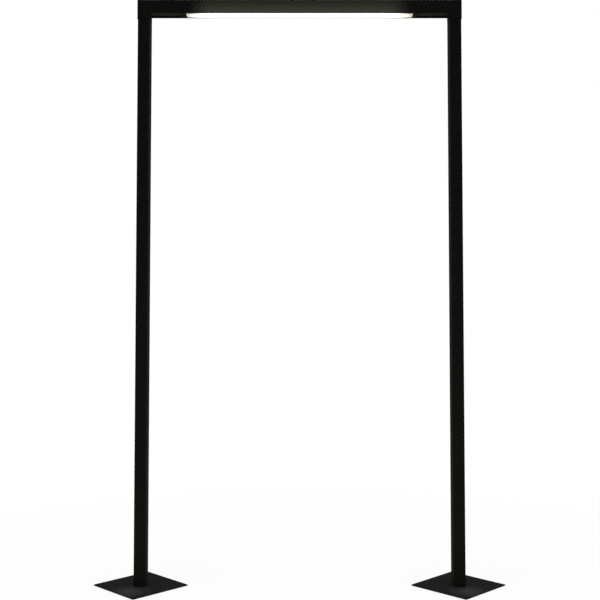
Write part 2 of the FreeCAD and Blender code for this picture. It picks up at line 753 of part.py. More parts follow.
def build_light_channel():
    """Heat sink channel in the slot of the web, with its gasket and screws."""
    profile = new_body("led_profile", "0", "0", WEB_UNDER)
    wall = "(size.profile_width / 2 - size.profile_wall)"
    outer = "size.profile_width / 2"
    low = f"-{FLANGE_BOTTOM}"
    seat = "-size.gasket_thickness"
    roof = "size.profile_rise - size.profile_roof"
    top = "size.profile_rise"
    face = cross_sketch(profile)
    outline(face, [
        (f"-{FLANGE_HALF}", low), (f"-{wall}", low), (f"-{wall}", roof), (wall, roof),
        (wall, low), (FLANGE_HALF, low), (FLANGE_HALF, seat), (outer, seat),
        (outer, top), (f"-{outer}", top), (f"-{outer}", seat), (f"-{FLANGE_HALF}", seat),
    ])
    length = "size.window_length - 2 * size.window_end_gap"
    pad(profile, face, length, both_ways=True)
    holes = level_sketch(profile, f"{seat} - size.flange_thickness / 2")
    hole = "size.profile_screw_diameter + 2 * size.hole_clearance"
    for spot in PROFILE_SCREW_XS:
        for end in ("-1", "1"):
            circle(holes, hole, spot, f"{end} * {PROFILE_SCREW_Y}")
    cut(profile, holes, "2 * size.flange_thickness")
    rims = round_hole_at(AXIS_Z, number(low), number(hole) / 2)
    bevel_edges(profile, rims, "(size.profile_screw_head - size.profile_screw_diameter) / 2")
    holes = level_sketch(profile, f"{top} - size.profile_roof / 2")
    for end in ("-1", "1"):
        spot = f"-size.driver_offset + {end} * {DRIVER_EAR_X}"
        circle(holes, "size.driver_screw_diameter + 2 * size.thread_clearance", spot, "0")
    circle(holes, "size.lead_diameter + 2 * size.hole_clearance", LED_LEAD_X, "size.gear_lead_side")
    cut(profile, holes, "2 * size.profile_roof")

    gasket = new_body("profile_gasket", "0", "0", WEB_UNDER)
    face = level_sketch(gasket, seat)
    rectangle(face, "size.window_length + 2 * size.lens_end_length", f"2 * {FLANGE_HALF}")
    rectangle(face, f"2 * {SLOT_HALF_LENGTH}", f"2 * {SLOT_HALF_WIDTH}")
    for spot in PROFILE_SCREW_XS:
        for end in ("-1", "1"):
            circle(face, hole, spot, f"{end} * {PROFILE_SCREW_Y}")
    hole = "size.lens_screw_diameter + 2 * size.hole_clearance"
    for sign in SIDES.values():
        for end in ("-1", "1"):
            circle(face, hole, f"{sign} * {LENS_SCREW_X}", f"{end} * size.lens_end_screw_spacing / 2")
    pad(gasket, face, "size.gasket_thickness")

    places = []
    for spot in PROFILE_SCREW_XS:
        for end in ("-1", "1"):
            places.append((spot, f"{end} * {PROFILE_SCREW_Y}", f"{WEB_UNDER} - {FLANGE_BOTTOM}"))
    copies("profile_screws", profile_screw, places, HEAD_DOWN)


def build_lens():
    """Opal lens clipped over the channel, its two ends and their screws."""
    lens = new_body("lens", "0", "0", WEB_UNDER)
    inside = f"({LENS_HALF} - size.lens_wall)"
    leg = "(size.profile_width / 2 - size.profile_wall - size.lens_clearance)"
    leg_inside = f"({leg} - size.lens_leg_wall)"
    skirt_top = "-size.lens_clearance"
    shelf = "-(size.lens_edge - size.lens_thickness)"
    edge = "-size.lens_edge"
    outer_radius = f"({LENS_HALF} ^ 2 + {LENS_SAG} ^ 2) / (2 * {LENS_SAG})"
    inner_sag = f"(size.lens_drop - size.lens_thickness + {shelf})"
    inner_radius = f"({leg_inside} ^ 2 + {inner_sag} ^ 2) / (2 * {inner_sag})"
    face = cross_sketch(lens)
    outline(face, [
        (f"-{LENS_HALF}", edge), (LENS_HALF, edge), (LENS_HALF, skirt_top), (inside, skirt_top),
        (inside, shelf), (leg, shelf), (leg, "size.lens_leg_rise"), (leg_inside, "size.lens_leg_rise"),
        (leg_inside, shelf), (f"-{leg_inside}", shelf), (f"-{leg_inside}", "size.lens_leg_rise"),
        (f"-{leg}", "size.lens_leg_rise"), (f"-{leg}", shelf), (f"-{inside}", shelf),
        (f"-{inside}", skirt_top), (f"-{LENS_HALF}", skirt_top),
    ], {0: (LENS_SAG, outer_radius), 8: (f"-{inner_sag}", inner_radius)})
    pad(lens, face, "size.window_length - 2 * size.window_end_gap", both_ways=True)

    for side, sign in SIDES.items():
        end_piece = new_body(f"lens_end_{side}", "0", "0", WEB_UNDER)
        face = cross_sketch(end_piece, f"{sign} * (size.window_length + size.lens_end_length) / 2")
        seat = "-size.gasket_thickness"
        corners = [(f"-{LENS_HALF}", edge), (LENS_HALF, edge), (LENS_HALF, seat), (f"-{LENS_HALF}", seat)]
        outline(face, corners, {0: (LENS_SAG, outer_radius)})
        pad(end_piece, face, "size.lens_end_length", both_ways=True)
        tongue = cross_sketch(end_piece, f"{sign} * (size.window_length + size.lens_end_tongue) / 2")
        height = "size.profile_rise + size.gasket_thickness"
        rectangle(tongue, "size.profile_width", height, "0", f"({height}) / 2 - size.gasket_thickness")
        pad(end_piece, tongue, "size.lens_end_tongue", both_ways=True)
        spots = [f"{end} * size.lens_end_screw_spacing / 2" for end in ("-1", "1")]
        holes = level_sketch(end_piece, "-size.lens_drop / 2")
        for spot in spots:
            hole = "size.lens_screw_diameter + 2 * size.hole_clearance"
            circle(holes, hole, f"{sign} * {LENS_SCREW_X}", spot)
        cut(end_piece, holes, "size.lens_drop")
        wells = level_sketch(end_piece, "-(size.lens_end_screw_seat + size.lens_drop) / 2")
        for spot in spots:
            well = "size.lens_screw_head + 2 * size.hole_clearance"
            circle(wells, well, f"{sign} * {LENS_SCREW_X}", spot)
        cut(end_piece, wells, "size.lens_drop - size.lens_end_screw_seat")

    places = []
    for sign in SIDES.values():
        for end in ("-1", "1"):
            y = f"{end} * size.lens_end_screw_spacing / 2"
            places.append((f"{sign} * {LENS_SCREW_X}", y, f"{WEB_UNDER} - size.lens_end_screw_seat"))
    copies("lens_end_screws", lens_screw, places, HEAD_DOWN)


def build_boards():
    """Circuit boards under the roof of the channel, with their emitters."""
    count = round(number("size.board_count"))
    span = "(size.window_length - 2 * size.board_margin)"
    board_z = f"{WEB_UNDER} + size.profile_rise - size.profile_roof - size.board_thickness"
    for index in range(count):
        board = doc.addObject("Part::Box", f"led_board_{index + 1}")
        bind(board, {
            "Length": f"{span} / size.board_count - size.board_gap",
            "Width": "size.board_width",
            "Height": "size.board_thickness",
        })
        x = f"-{span} / 2 + {index} * {span} / size.board_count + size.board_gap / 2"
        add_piece(board, f"led_board_{index + 1}", x, "-size.board_width / 2", board_z)

    in_all = count * round(number("size.emitters_per_board"))
    pitch = number(span) / in_all
    side = number("size.emitter_side")
    height = number("size.emitter_height")
    z = number(board_z) - height
    chips = []
    for index in range(in_all):
        x = (index + 0.5) * pitch - number(span) / 2
        chips.append(Part.makeBox(side, side, height, Vector(x - side / 2, -side / 2, z)))
    emitters = doc.addObject("Part::Feature", "led_emitters")
    emitters.Shape = Part.makeCompound(chips)
    add_piece(emitters, "led_emitters")


def build_gear():
    """Driver and terminal block on the back of the channel."""
    driver = new_body("led_driver", "-size.driver_offset", "0", GEAR_Z)
    face = level_sketch(driver)
    rectangle(face, "size.driver_length", "size.driver_width")
    pad(driver, face, "size.driver_height")
    round_edges(driver, runs_along(AXIS_Z), "size.driver_corner_radius")
    ears = level_sketch(driver)
    ear_span = "size.driver_length + 2 * size.driver_ear_length"
    rectangle(ears, ear_span, "size.driver_ear_width")
    pad(driver, ears, "size.driver_ear_thickness")
    holes = level_sketch(driver, "size.driver_ear_thickness / 2")
    for end in ("-1", "1"):
        hole = "size.driver_screw_diameter + 2 * size.hole_clearance"
        circle(holes, hole, f"{end} * {DRIVER_EAR_X}", "0")
    cut(driver, holes, "size.driver_ear_thickness")
    seat = f"{GEAR_Z} + size.driver_ear_thickness"
    places = [(f"-size.driver_offset + {end} * {DRIVER_EAR_X}", "0", seat) for end in ("-1", "1")]
    copies("driver_screws", driver_screw, places)

    block = new_body("terminal_block", "size.terminal_offset", "0", GEAR_Z)
    face = level_sketch(block)
    rectangle(face, "size.terminal_length", "size.terminal_width")
    pad(block, face, "size.terminal_height")
    wells = level_sketch(block, "size.terminal_height")
    for u in ("-1", "1"):
        for v in ("-1", "0", "1"):
            spot = "0" if v == "0" else f"{v} * size.terminal_well_pitch"
            circle(wells, "size.terminal_well", f"{u} * size.terminal_length / 4", spot)
    cut(block, wells, "2 * size.terminal_well_depth")


def build_dock():
    """Plug under the right corner and the socket on a bridge inside the right post."""
    plug = new_body("dock_plug", POST_X, "0", DOCK_FACE)
    face = level_sketch(plug)
    rectangle(face, "size.dock_width", "size.dock_depth")
    pad(plug, face, "size.dock_plug_height")
    boss = level_sketch(plug, "size.dock_plug_height")
    circle(boss, "size.cable_bore - 2 * size.insert_clearance")
    pad(plug, boss, "size.dock_boss_height")
    holes = level_sketch(plug)
    spots = [f"{end} * size.dock_pin_spacing / 2" for end in ("-1", "1")]
    for spot in spots:
        circle(holes, "size.dock_pin_diameter + 2 * size.thread_clearance", "0", spot)
    cut(plug, holes, "2 * size.dock_pin_grip")

    pins = []
    for spot in spots:
        pin = doc.addObject("Part::Cylinder", "pin")
        bind(pin, {
            "Radius": "size.dock_pin_diameter / 2",
            "Height": "size.dock_pin_grip + size.dock_pin_reach",
            "Placement.Base.x": POST_X,
            "Placement.Base.y": spot,
            "Placement.Base.z": f"{DOCK_FACE} - size.dock_pin_reach",
        })
        pins.append(pin)
    group = doc.addObject("Part::Compound", "dock_pins")
    group.Links = pins
    doc.recompute()
    add_piece(group, "dock_pins")

    socket = new_body("dock_socket", POST_X, "0", BRIDGE_TOP)
    bridge = level_sketch(socket, "-size.dock_bridge_thickness")
    width = f"{POST_INNER_WIDTH} - 2 * size.insert_clearance"
    depth = f"{POST_INNER_DEPTH} - 2 * size.insert_clearance"
    rectangle(bridge, width, depth)
    pad(socket, bridge, "size.dock_bridge_thickness")
    tower_height = f"({DOCK_FACE} - size.dock_gap - {BRIDGE_TOP})"
    tower = level_sketch(socket)
    rectangle(tower, "size.dock_width", "size.dock_depth")
    pad(socket, tower, tower_height)
    holes = level_sketch(socket, tower_height)
    for spot in spots:
        circle(holes, "size.dock_pin_diameter + 2 * size.hole_clearance", "0", spot)
    cut(socket, holes, "2 * (size.dock_pin_reach + size.dock_pin_room)")
    holes = front_sketch(socket, f"({depth}) / 2")
    for end in ("-1", "1"):
        spot = f"{end} * size.dock_screw_spacing / 2"
        hole = "size.dock_screw_diameter + 2 * size.thread_clearance"
        circle(holes, hole, spot, "-size.dock_bridge_thickness / 2")
    cut(socket, holes, "2 * size.dock_screw_length")
    places = []
    for end in ("-1", "1"):
        places.append((f"{POST_X} + {end} * size.dock_screw_spacing / 2", REAR, DOCK_SCREW_LEVEL))
    copies("dock_screws", dock_screw, places, HEAD_REAR)


def panel_ring(label, level, barrel, rim):
    """Flat seal between the rear wall and a panel part."""
    seal = new_body(label, POST_X, REAR, level)
    face = level_sketch(seal)
    inner = f"{barrel} / 2 + size.seal_inset"
    outer = f"{rim} / 2 - size.seal_inset"
    thick = "size.seal_thickness"
    outline(face, [(inner, "0"), (outer, "0"), (outer, thick), (inner, thick)])
    turn(seal, face)


def panel_nut(label, level, barrel, flats, thickness):
    """Hexagon nut behind the rear wall."""
    nut = new_body(label, POST_X, REAR, level)
    face = front_sketch(nut, f"-(size.post_wall + {thickness} / 2)")
    hexagon(face, flats)
    circle(face, f"{barrel} + 2 * size.thread_clearance")
    pad(nut, face, thickness, both_ways=True)


def build_switch():
    """Push button for switching and dimming, with its barrel, seal and nut."""
    barrel = new_body("switch_barrel", POST_X, REAR, "size.switch_level")
    rim = "(size.seal_thickness + size.switch_bezel_thickness)"
    bore = "size.button_diameter / 2 + size.insert_clearance"
    bore_floor = f"{rim} - size.switch_bore_depth"
    face = level_sketch(barrel)
    outline(face, [
        ("0", "-size.switch_barrel_length"), ("size.switch_barrel / 2", "-size.switch_barrel_length"),
        ("size.switch_barrel / 2", "size.seal_thickness"), ("size.switch_bezel / 2", "size.seal_thickness"),
        ("size.switch_bezel / 2", rim), (bore, rim), (bore, bore_floor), ("0", bore_floor),
    ])
    turn(barrel, face)
    outer_rim = round_hole_at(AXIS_Y, number(rim), number("size.switch_bezel / 2"))
    bevel_edges(barrel, outer_rim, "size.switch_bezel_chamfer")
    panel_ring("switch_seal", "size.switch_level", "size.switch_barrel", "size.switch_bezel")
    panel_nut("switch_nut", "size.switch_level", "size.switch_barrel", "size.switch_nut",
              "size.switch_nut_thickness")
    button = new_body("dimmer_button", POST_X, REAR, "size.switch_level")
    top = f"{rim} + size.button_proud"
    low = f"{top} - size.button_length"
    side = "size.button_diameter / 2"
    face = level_sketch(button)
    outline(face, [("0", low), (side, low), (side, top), ("0", top)])
    turn(button, face)
    bevel_edges(button, lies_at(AXIS_Y, number(top)), "size.button_chamfer")


def build_inlet():
    """Round supply socket with its seal, nut and contacts."""
    inlet = new_body("inlet_body", POST_X, REAR, "size.inlet_level")
    radius = "size.inlet_barrel / 2"
    flange = "size.inlet_flange / 2"
    back = "size.seal_thickness"
    front = "(size.seal_thickness + size.inlet_flange_thickness)"
    end = f"({front} + size.inlet_collar_length)"
    floor = f"({end} - size.inlet_rim_depth)"
    inside = f"{radius} - size.inlet_rim_wall"
    face = level_sketch(inlet)
    outline(face, [
        ("0", "-size.inlet_barrel_length"), (radius, "-size.inlet_barrel_length"), (radius, back),
        (flange, back), (flange, front), (radius, front), (radius, end), (inside, end),
        (inside, floor), ("0", floor),
    ])
    turn(inlet, face)
    holes = front_sketch(inlet, floor)
    spots = [f"{sign} * size.contact_spacing / 2" for sign in ("-1", "1")]
    for spot in spots:
        circle(holes, "size.contact_diameter + 2 * size.contact_clearance", spot, "0")
    cut(inlet, holes, "2 * size.contact_length")
    panel_ring("inlet_seal", "size.inlet_level", "size.inlet_barrel", "size.inlet_flange")
    panel_nut("inlet_nut", "size.inlet_level", "size.inlet_barrel", "size.inlet_nut",
              "size.inlet_nut_thickness")
    contact = doc.addObject("PartDesign::Body", "contact")
    profile = sketch_on(contact, "XZ_Plane")
    bore = "size.contact_bore / 2"
    outer = "size.contact_diameter / 2"
    low = "-size.contact_length"
    outline(profile, [(bore, low), (outer, low), (outer, "0"), (bore, "0")])
    turn(contact, profile)
    places = [(f"{POST_X} + {spot}", f"{REAR} + {floor}", "size.inlet_level") for spot in spots]
    copies("inlet_contacts", contact, places, HEAD_REAR)


def build_cables():
    """Cables in the right post and in the beam, and the grommet between them."""
    near = f"{POST_X} - size.lead_spacing / 2"
    far = f"{POST_X} + size.lead_spacing / 2"
    switch_end = f"{REAR} - size.switch_barrel_length"
    run = f"{switch_end} - size.lead_run_gap"
    cable("inlet_lead", [
        (near, f"{REAR} - size.inlet_barrel_length", "size.inlet_level"),
        (near, run, "size.inlet_level"),
        (near, run, "size.switch_level"),
        (near, switch_end, "size.switch_level"),
    ], "size.lead_bend")
    cable("switch_lead", [
        (far, switch_end, "size.switch_level"),
        (far, run, "size.switch_level"),
        (far, run, f"{BRIDGE_TOP} - size.dock_bridge_thickness"),
    ], "size.lead_bend")
    level = f"{GEAR_Z} + size.gear_lead_rise"
    side = "size.gear_lead_side"
    cable("led_lead", [
        ("-size.driver_offset - size.driver_length / 2", side, level),
        (LED_LEAD_X, side, level),
        (LED_LEAD_X, side, f"{GEAR_Z} - size.profile_roof"),
    ], "size.gear_lead_bend")
    cable("driver_lead", [
        ("-size.driver_offset + size.driver_length / 2", side, level),
        ("size.terminal_offset - size.terminal_length / 2", side, level),
    ], "size.gear_lead_bend")
    cable("head_lead", [
        ("size.terminal_offset + size.terminal_length / 2", "0", level),
        (POST_X, "0", level),
        (POST_X, "0", f"{POST_TOP} + size.dock_boss_height"),
    ], "size.head_lead_bend")

    grommet = new_body("cable_grommet", POST_X, "0", WEB_UNDER)
    bore = "size.lead_diameter / 2 + size.hole_clearance"
    barrel = "size.cable_bore / 2 - size.insert_clearance"
    rim = "size.grommet_flange / 2"
    top = "size.beam_wall + size.grommet_lip"
    face = sketch_on(grommet, "XZ_Plane")
    outline(face, [
        (bore, "0"), (barrel, "0"), (barrel, "size.beam_wall"), (rim, "size.beam_wall"),
        (rim, top), (bore, top),
    ])
    turn(grommet, face)


base_screw = screw("base_screw", "countersunk")
foot_screw = screw("foot_screw", "raised")
clamp_screw = screw("clamp_screw", "none")
corner_screw = screw("corner_screw", "raised")
profile_screw = screw("profile_screw", "countersunk")
lens_screw = screw("lens_screw", "raised")
dock_screw = screw("dock_screw", "raised")
driver_screw = screw("driver_screw", "raised")
rivet_nut = rivet_nut_pattern()

for side, sign in SIDES.items():
    build_foot(side, sign)
    build_post(side, sign)
    build_corner(side, sign)
    build_end_cap(side, sign)
build_beam()
build_light_channel()
build_lens()
build_boards()
build_gear()
build_dock()
build_switch()
build_inlet()
build_cables()
doc.removeObject("trial")
doc.recompute()

for thing in doc.Objects:
    if "Invalid" in thing.State or "Error" in thing.State:
        raise RuntimeError(f"{thing.Label} is not up to date: {thing.State}")
os.makedirs("parts", exist_ok=True)
for thing in pieces:
    if thing.Shape.isNull() or not thing.Shape.isValid() or not thing.Shape.Solids:
        raise RuntimeError(f"{thing.Label} has no valid solid")
    thing.Shape.exportStep(f"parts/{thing.Label}.step")
    print(thing.Label, len(thing.Shape.Solids), round(thing.Shape.Volume))
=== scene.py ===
import math
from collections import namedtuple

import bmesh
import bpy
from bpy.props import FloatProperty, FloatVectorProperty, IntProperty, PointerProperty
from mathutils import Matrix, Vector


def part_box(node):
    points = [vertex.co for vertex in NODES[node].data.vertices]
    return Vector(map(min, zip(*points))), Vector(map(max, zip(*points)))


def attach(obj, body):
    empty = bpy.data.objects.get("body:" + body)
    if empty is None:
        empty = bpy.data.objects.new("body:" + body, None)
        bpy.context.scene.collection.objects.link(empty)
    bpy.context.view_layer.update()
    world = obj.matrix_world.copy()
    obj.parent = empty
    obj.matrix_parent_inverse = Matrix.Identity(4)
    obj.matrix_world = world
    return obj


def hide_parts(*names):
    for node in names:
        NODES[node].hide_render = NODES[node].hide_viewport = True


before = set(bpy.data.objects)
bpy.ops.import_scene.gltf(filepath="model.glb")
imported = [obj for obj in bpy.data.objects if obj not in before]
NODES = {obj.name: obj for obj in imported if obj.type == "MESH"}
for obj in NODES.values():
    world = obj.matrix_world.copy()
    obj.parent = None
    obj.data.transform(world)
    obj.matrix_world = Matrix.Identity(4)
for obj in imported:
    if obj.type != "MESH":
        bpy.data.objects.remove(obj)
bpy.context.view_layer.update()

bl_info = {
    "name": "Outdoor floor lamp",
    "version": (1, 0, 0),
    "blender": (4, 5, 0),
    "location": "3D View > Sidebar > Lamp",
    "description": "Finishes, small hardware and studio stage of a gate-shaped outdoor floor lamp",
    "category": "Object",
}

POST_LOW, POST_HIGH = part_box("post_right")
POST_X = (POST_LOW.x + POST_HIGH.x) / 2
PAD_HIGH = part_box("foot_pads_right")[1]
BEAM_LOW, BEAM_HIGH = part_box("beam_tube")
LENS_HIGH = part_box("lens")[1]

WHITE = (1.0, 1.0, 1.0, 1.0)
BLACK = (0.0, 0.0, 0.0, 1.0)

# Turns that point the head of a screw up, down or to the rear
HEAD_UP = (0.0, 0.0, 0.0)
HEAD_DOWN = (math.pi, 0.0, 0.0)
HEAD_REAR = (-math.pi / 2, 0.0, 0.0)

# Inputs of a Mix node for colours: the share of the second one, then both colours
SHARE, FIRST, SECOND = 0, 6, 7
# Range that most values of a noise pattern lie in
NOISE_LOW, NOISE_HIGH = 0.3, 0.7

# Heights of a grain between which its crests turn pale, a painted glint
CREST_FROM, CREST_TO = 0.48, 0.72

# Top of the warmer, paler brown on the posts, in metres
WARM_TOP = 1.5
# Middle of the painted highlight on a plate, beside and before its post, and its inner and outer
# radius, in metres
HIGHLIGHT_BESIDE, HIGHLIGHT_BEFORE = 0.018, 0.078
HIGHLIGHT_CORE, HIGHLIGHT_EDGE = 0.010, 0.075
# Share of the window's half length from which the painted glow over it fades
GLOW_FADE_SHARE = 0.76
# Heights over the beam's lower edge between which the painted warm light on the web fades in, in metres
WEB_FROM, WEB_TO = 0.004, 0.006

# How far the light in the window falls off from its ends, and from its edges at an end and elsewhere,
# in metres
END_FADE = 0.110
CORNER_FADE = 0.022
EDGE_FADE = 0.009

# Radius of a foot pad and height of its ribs, in metres
PAD_RADIUS = 0.015
PAD_RIB = 0.00035
# Edges of the small hardware that bend by more than this stay sharp
SMOOTH_ANGLE = math.radians(35)

# Half width of the floor, and the distances between which its shadows fade out, in metres
FLOOR_REACH = 30.0
SHADOW_FROM, SHADOW_TO = 0.9, 2.2
# Share of the shadow on the white floor, and strength of the light from all round
SHADOW_SHARE = 0.15
SKY_LIGHT = 0.6
# Softness of the suns, then the name, strength and turn in degrees of each
SUN_ANGLE = math.radians(60)
SUNS = (("key_light", 0.9, (38, 0, -32)), ("fill_light", 0.5, (30, 0, 48)))
# Sensor in millimetres, shift of the frame, and how far the camera sees in metres
SENSOR_WIDTH = 36.0
SHIFT_X, SHIFT_Y = 0.0007, -0.0776
SIGHT_END = 200.0

ScrewSet = namedtuple("ScrewSet", "body turn head shank length width height key grid nodes")


def colour(code):
    """Linear colour with full alpha of an sRGB hex code. A colour that is linear already stays."""
    if not isinstance(code, str):
        return tuple(code)
    parts = [int(code[i:i + 2], 16) / 255 for i in (1, 3, 5)]
    return (*(p / 12.92 if p <= 0.04045 else ((p + 0.055) / 1.055) ** 2.4 for p in parts), 1.0)


def toned(base, share):
    """Linear colour a share of the way from a base to white, or to black for a share below 0."""
    goal = 1.0 if share > 0 else 0.0
    return (*(part + abs(share) * (goal - part) for part in base[:3]), 1.0)


def per_metre(size_mm):
    """Texture scale at which one feature of a pattern is so many millimetres wide."""
    return 1000.0 / size_mm


def add(tree, kind, inputs=None, **settings):
    """Adds a node with its settings. An input, by name or number, takes a value, a socket or a node."""
    made = tree.nodes.new(kind)
    for name, value in settings.items():
        setattr(made, name, value)
    for key, value in (inputs or {}).items():
        if isinstance(value, bpy.types.Node):
            value = next(output for output in value.outputs if output.enabled)
        if isinstance(value, bpy.types.NodeSocket):
            tree.links.new(value, made.inputs[key])
        else:
            made.inputs[key].default_value = value
    return made


def empty_tree(owner):
    """Node tree of a new material or world, with nothing in it."""
    owner.use_nodes = True
    owner.node_tree.nodes.clear()
    return owner.node_tree


def upward(tree):
    """How far a face looks up, from -1 for an underside to 1 for a top."""
    normal = add(tree, "ShaderNodeNewGeometry").outputs["Normal"]
    return add(tree, "ShaderNodeSeparateXYZ", {"Vector": normal}).outputs["Z"]


def looked_at(tree):
    """1 for what the camera sees, also in a mirror or through glass, and 0 for what only gives light."""
    path = add(tree, "ShaderNodeLightPath").outputs
    shown = add(tree, "ShaderNodeMath", {0: path["Is Camera Ray"], 1: path["Is Glossy Ray"]},
                operation="MAXIMUM")
    return add(tree, "ShaderNodeMath", {0: shown, 1: path["Is Transmission Ray"]}, operation="MAXIMUM")


def worn_edges(tree, width_mm, cloud):
    """Share of worn coat: up to 1 along sharp edges, broken up by a cloud pattern, 0 on flat faces."""
    plain = add(tree, "ShaderNodeNewGeometry").outputs["Normal"]
    eased = add(tree, "ShaderNodeBevel", {"Radius": width_mm / 1000}, samples=4)
    # The plain and the rounded normal differ at an edge and are alike on a flat face
    alike = add(tree, "ShaderNodeVectorMath", {0: plain, 1: eased}, operation="DOT_PRODUCT")
    edge = add(tree, "ShaderNodeMapRange", {
        "Value": alike, "From Min": 0.80, "From Max": 0.998, "To Min": 1.0, "To Max": 0.0})
    patchy = add(tree, "ShaderNodeMapRange", {
        "Value": cloud, "From Min": 0.35, "From Max": 0.65, "To Min": 0.25})
    return add(tree, "ShaderNodeMath", {0: edge, 1: patchy}, operation="MULTIPLY")


def finish(name, shades, *, patch_mm, rough, grain_mm, grain_height_mm, grain="noise",
           stretch=(1, 1, 1), painted_glint=0.0, tints=(), worn=None, wear_mm=1.5, polish=0.12,
           metallic=0.0, specular=0.5):
    """Material with clouded colour, a grain that shows as relief, uneven gloss and worn edges.

    The crests of the grain are paler by a share of white, a painted glint. Each tint is a colour and
    the function that gives its share from the place. Worn edges are smoother by polish.
    """
    material = bpy.data.materials.new(name)
    tree = empty_tree(material)
    place = add(tree, "ShaderNodeTexCoord").outputs["Object"]
    drawn = add(tree, "ShaderNodeMapping", {"Vector": place, "Scale": stretch})
    cloud = add(tree, "ShaderNodeTexNoise", {
        "Vector": drawn, "Scale": per_metre(patch_mm), "Detail": 4.0})
    if grain == "cells":
        relief = add(tree, "ShaderNodeTexVoronoi", {"Vector": drawn, "Scale": per_metre(grain_mm)})
    else:
        relief = add(tree, "ShaderNodeTexNoise", {
            "Vector": drawn, "Scale": per_metre(grain_mm), "Detail": 2.0})
    gloss = add(tree, "ShaderNodeMapRange", {
        "Value": cloud, "From Min": NOISE_LOW, "From Max": NOISE_HIGH, "To Min": rough[0],
        "To Max": rough[1]})
    cloudy = add(tree, "ShaderNodeMapRange", {
        "Value": cloud, "From Min": NOISE_LOW, "From Max": NOISE_HIGH})
    layers = [(cloudy, shades[1])]
    layers += [(share(tree, place), tint) for tint, share in tints]
    # Paler crests are a painted glint
    if painted_glint:
        glinting_crests = add(tree, "ShaderNodeMapRange", {
            "Value": relief, "From Min": CREST_FROM, "From Max": CREST_TO, "To Max": painted_glint})
        layers.append((glinting_crests, WHITE))
    if worn is not None:
        bare = worn_edges(tree, wear_mm, cloud)
        layers.append((bare, worn))
        gloss = add(tree, "ShaderNodeMath", {0: bare, 1: -polish, 2: gloss}, operation="MULTIPLY_ADD")
    surface = colour(shades[0])
    for share, layer in layers:
        surface = add(tree, "ShaderNodeMix", {SHARE: share, FIRST: surface, SECOND: colour(layer)},
                      data_type="RGBA")
    bumps = add(tree, "ShaderNodeBump", {
        "Strength": 0.5, "Distance": grain_height_mm / 1000, "Height": relief})
    shader = add(tree, "ShaderNodeBsdfPrincipled", {
        "Base Color": surface, "Roughness": gloss, "Normal": bumps, "Metallic": metallic,
        "Specular IOR Level": specular})
    add(tree, "ShaderNodeOutputMaterial", {"Surface": shader})
    return material


def warmer_low_down(tree, place):
    """Share of a warmer, paler brown on the posts: most at the floor, none above chest height."""
    height = add(tree, "ShaderNodeSeparateXYZ", {"Vector": place}).outputs["Z"]
    return add(tree, "ShaderNodeMapRange", {
        "Value": height, "From Max": WARM_TOP, "To Min": 0.5, "To Max": 0.0})


def painted_window_glow(tree, place):
    """Share of painted glow from the window on the beam: most just over the warm window, less higher up,
    none on top.
    """
    parts = add(tree, "ShaderNodeSeparateXYZ", {"Vector": place}).outputs
    off_middle = add(tree, "ShaderNodeMath", {0: parts["X"]}, operation="ABSOLUTE")
    beside = add(tree, "ShaderNodeMapRange", {
        "Value": off_middle, "From Min": GLOW_FADE_SHARE * LENS_HIGH.x, "From Max": LENS_HIGH.x,
        "To Min": 1.0, "To Max": 0.0}, interpolation_type="SMOOTHSTEP")
    height = add(tree, "ShaderNodeMapRange", {
        "Value": parts["Z"], "From Min": BEAM_LOW.z, "From Max": BEAM_HIGH.z, "To Min": 0.85,
        "To Max": 0.18})
    upright = add(tree, "ShaderNodeMapRange", {
        "Value": upward(tree), "From Min": 0.3, "From Max": 0.9, "To Min": 1.0, "To Max": 0.0})
    painted_glow = add(tree, "ShaderNodeMath", {0: beside, 1: height}, operation="MULTIPLY")
    return add(tree, "ShaderNodeMath", {0: painted_glow, 1: upright}, operation="MULTIPLY")


def painted_groove_light(tree, place):
    """Share of painted warm light from the window on the web between the walls under the beam."""
    height = add(tree, "ShaderNodeSeparateXYZ", {"Vector": place}).outputs["Z"]
    inside = add(tree, "ShaderNodeMapRange", {
        "Value": height, "From Min": BEAM_LOW.z + WEB_FROM, "From Max": BEAM_LOW.z + WEB_TO})
    under = add(tree, "ShaderNodeMapRange", {
        "Value": upward(tree), "From Min": -0.9, "From Max": -0.6, "To Min": 1.0, "To Max": 0.0})
    return add(tree, "ShaderNodeMath", {0: inside, 1: under}, operation="MULTIPLY")


def painted_plate_highlight(tree, place):
    """Share of painted highlight on the plates: most in front of each post, on its outer side."""
    parts = add(tree, "ShaderNodeSeparateXYZ", {"Vector": place}).outputs
    side = add(tree, "ShaderNodeMath", {0: parts["X"]}, operation="ABSOLUTE")
    spot = add(tree, "ShaderNodeCombineXYZ", {"X": side, "Y": parts["Y"]})
    away = add(tree, "ShaderNodeVectorMath", {0: spot, 1: (POST_X + HIGHLIGHT_BESIDE, -HIGHLIGHT_BEFORE, 0.0)},
               operation="DISTANCE")
    return add(tree, "ShaderNodeMapRange", {
        "Value": away, "From Min": HIGHLIGHT_CORE, "From Max": HIGHLIGHT_EDGE, "To Min": 0.9, "To Max": 0.0})


def dress(material, *names):
    """Gives CAD nodes a material in place of their plain one."""
    for name in names:
        NODES[name].data.materials.clear()
        NODES[name].data.materials.append(material)


def both(name):
    """Names of the left and right node of a pair."""
    return f"{name}_left", f"{name}_right"


def even_steps(start, end, count):
    """So many values from start to end, or the middle for one."""
    if count == 1:
        return [(start + end) / 2]
    return [start + (end - start) * step / (count - 1) for step in range(count)]


def seats(node, screw):
    """Places where the screws of a node sit, in columns and rows inside its box."""
    low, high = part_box(node)
    inset = screw.width / 2 / 1000
    height = screw.height / 1000
    columns = even_steps(low.x + inset, high.x - inset, screw.grid[0])
    if screw.turn == HEAD_REAR:
        rows = even_steps(low.z + inset, high.z - inset, screw.grid[1])
        return [(x, high.y - height, z) for x in columns for z in rows]
    rows = even_steps(low.y + inset, high.y - inset, screw.grid[1])
    level = high.z - height if screw.turn == HEAD_UP else low.z + height
    return [(x, y, level) for x in columns for y in rows]


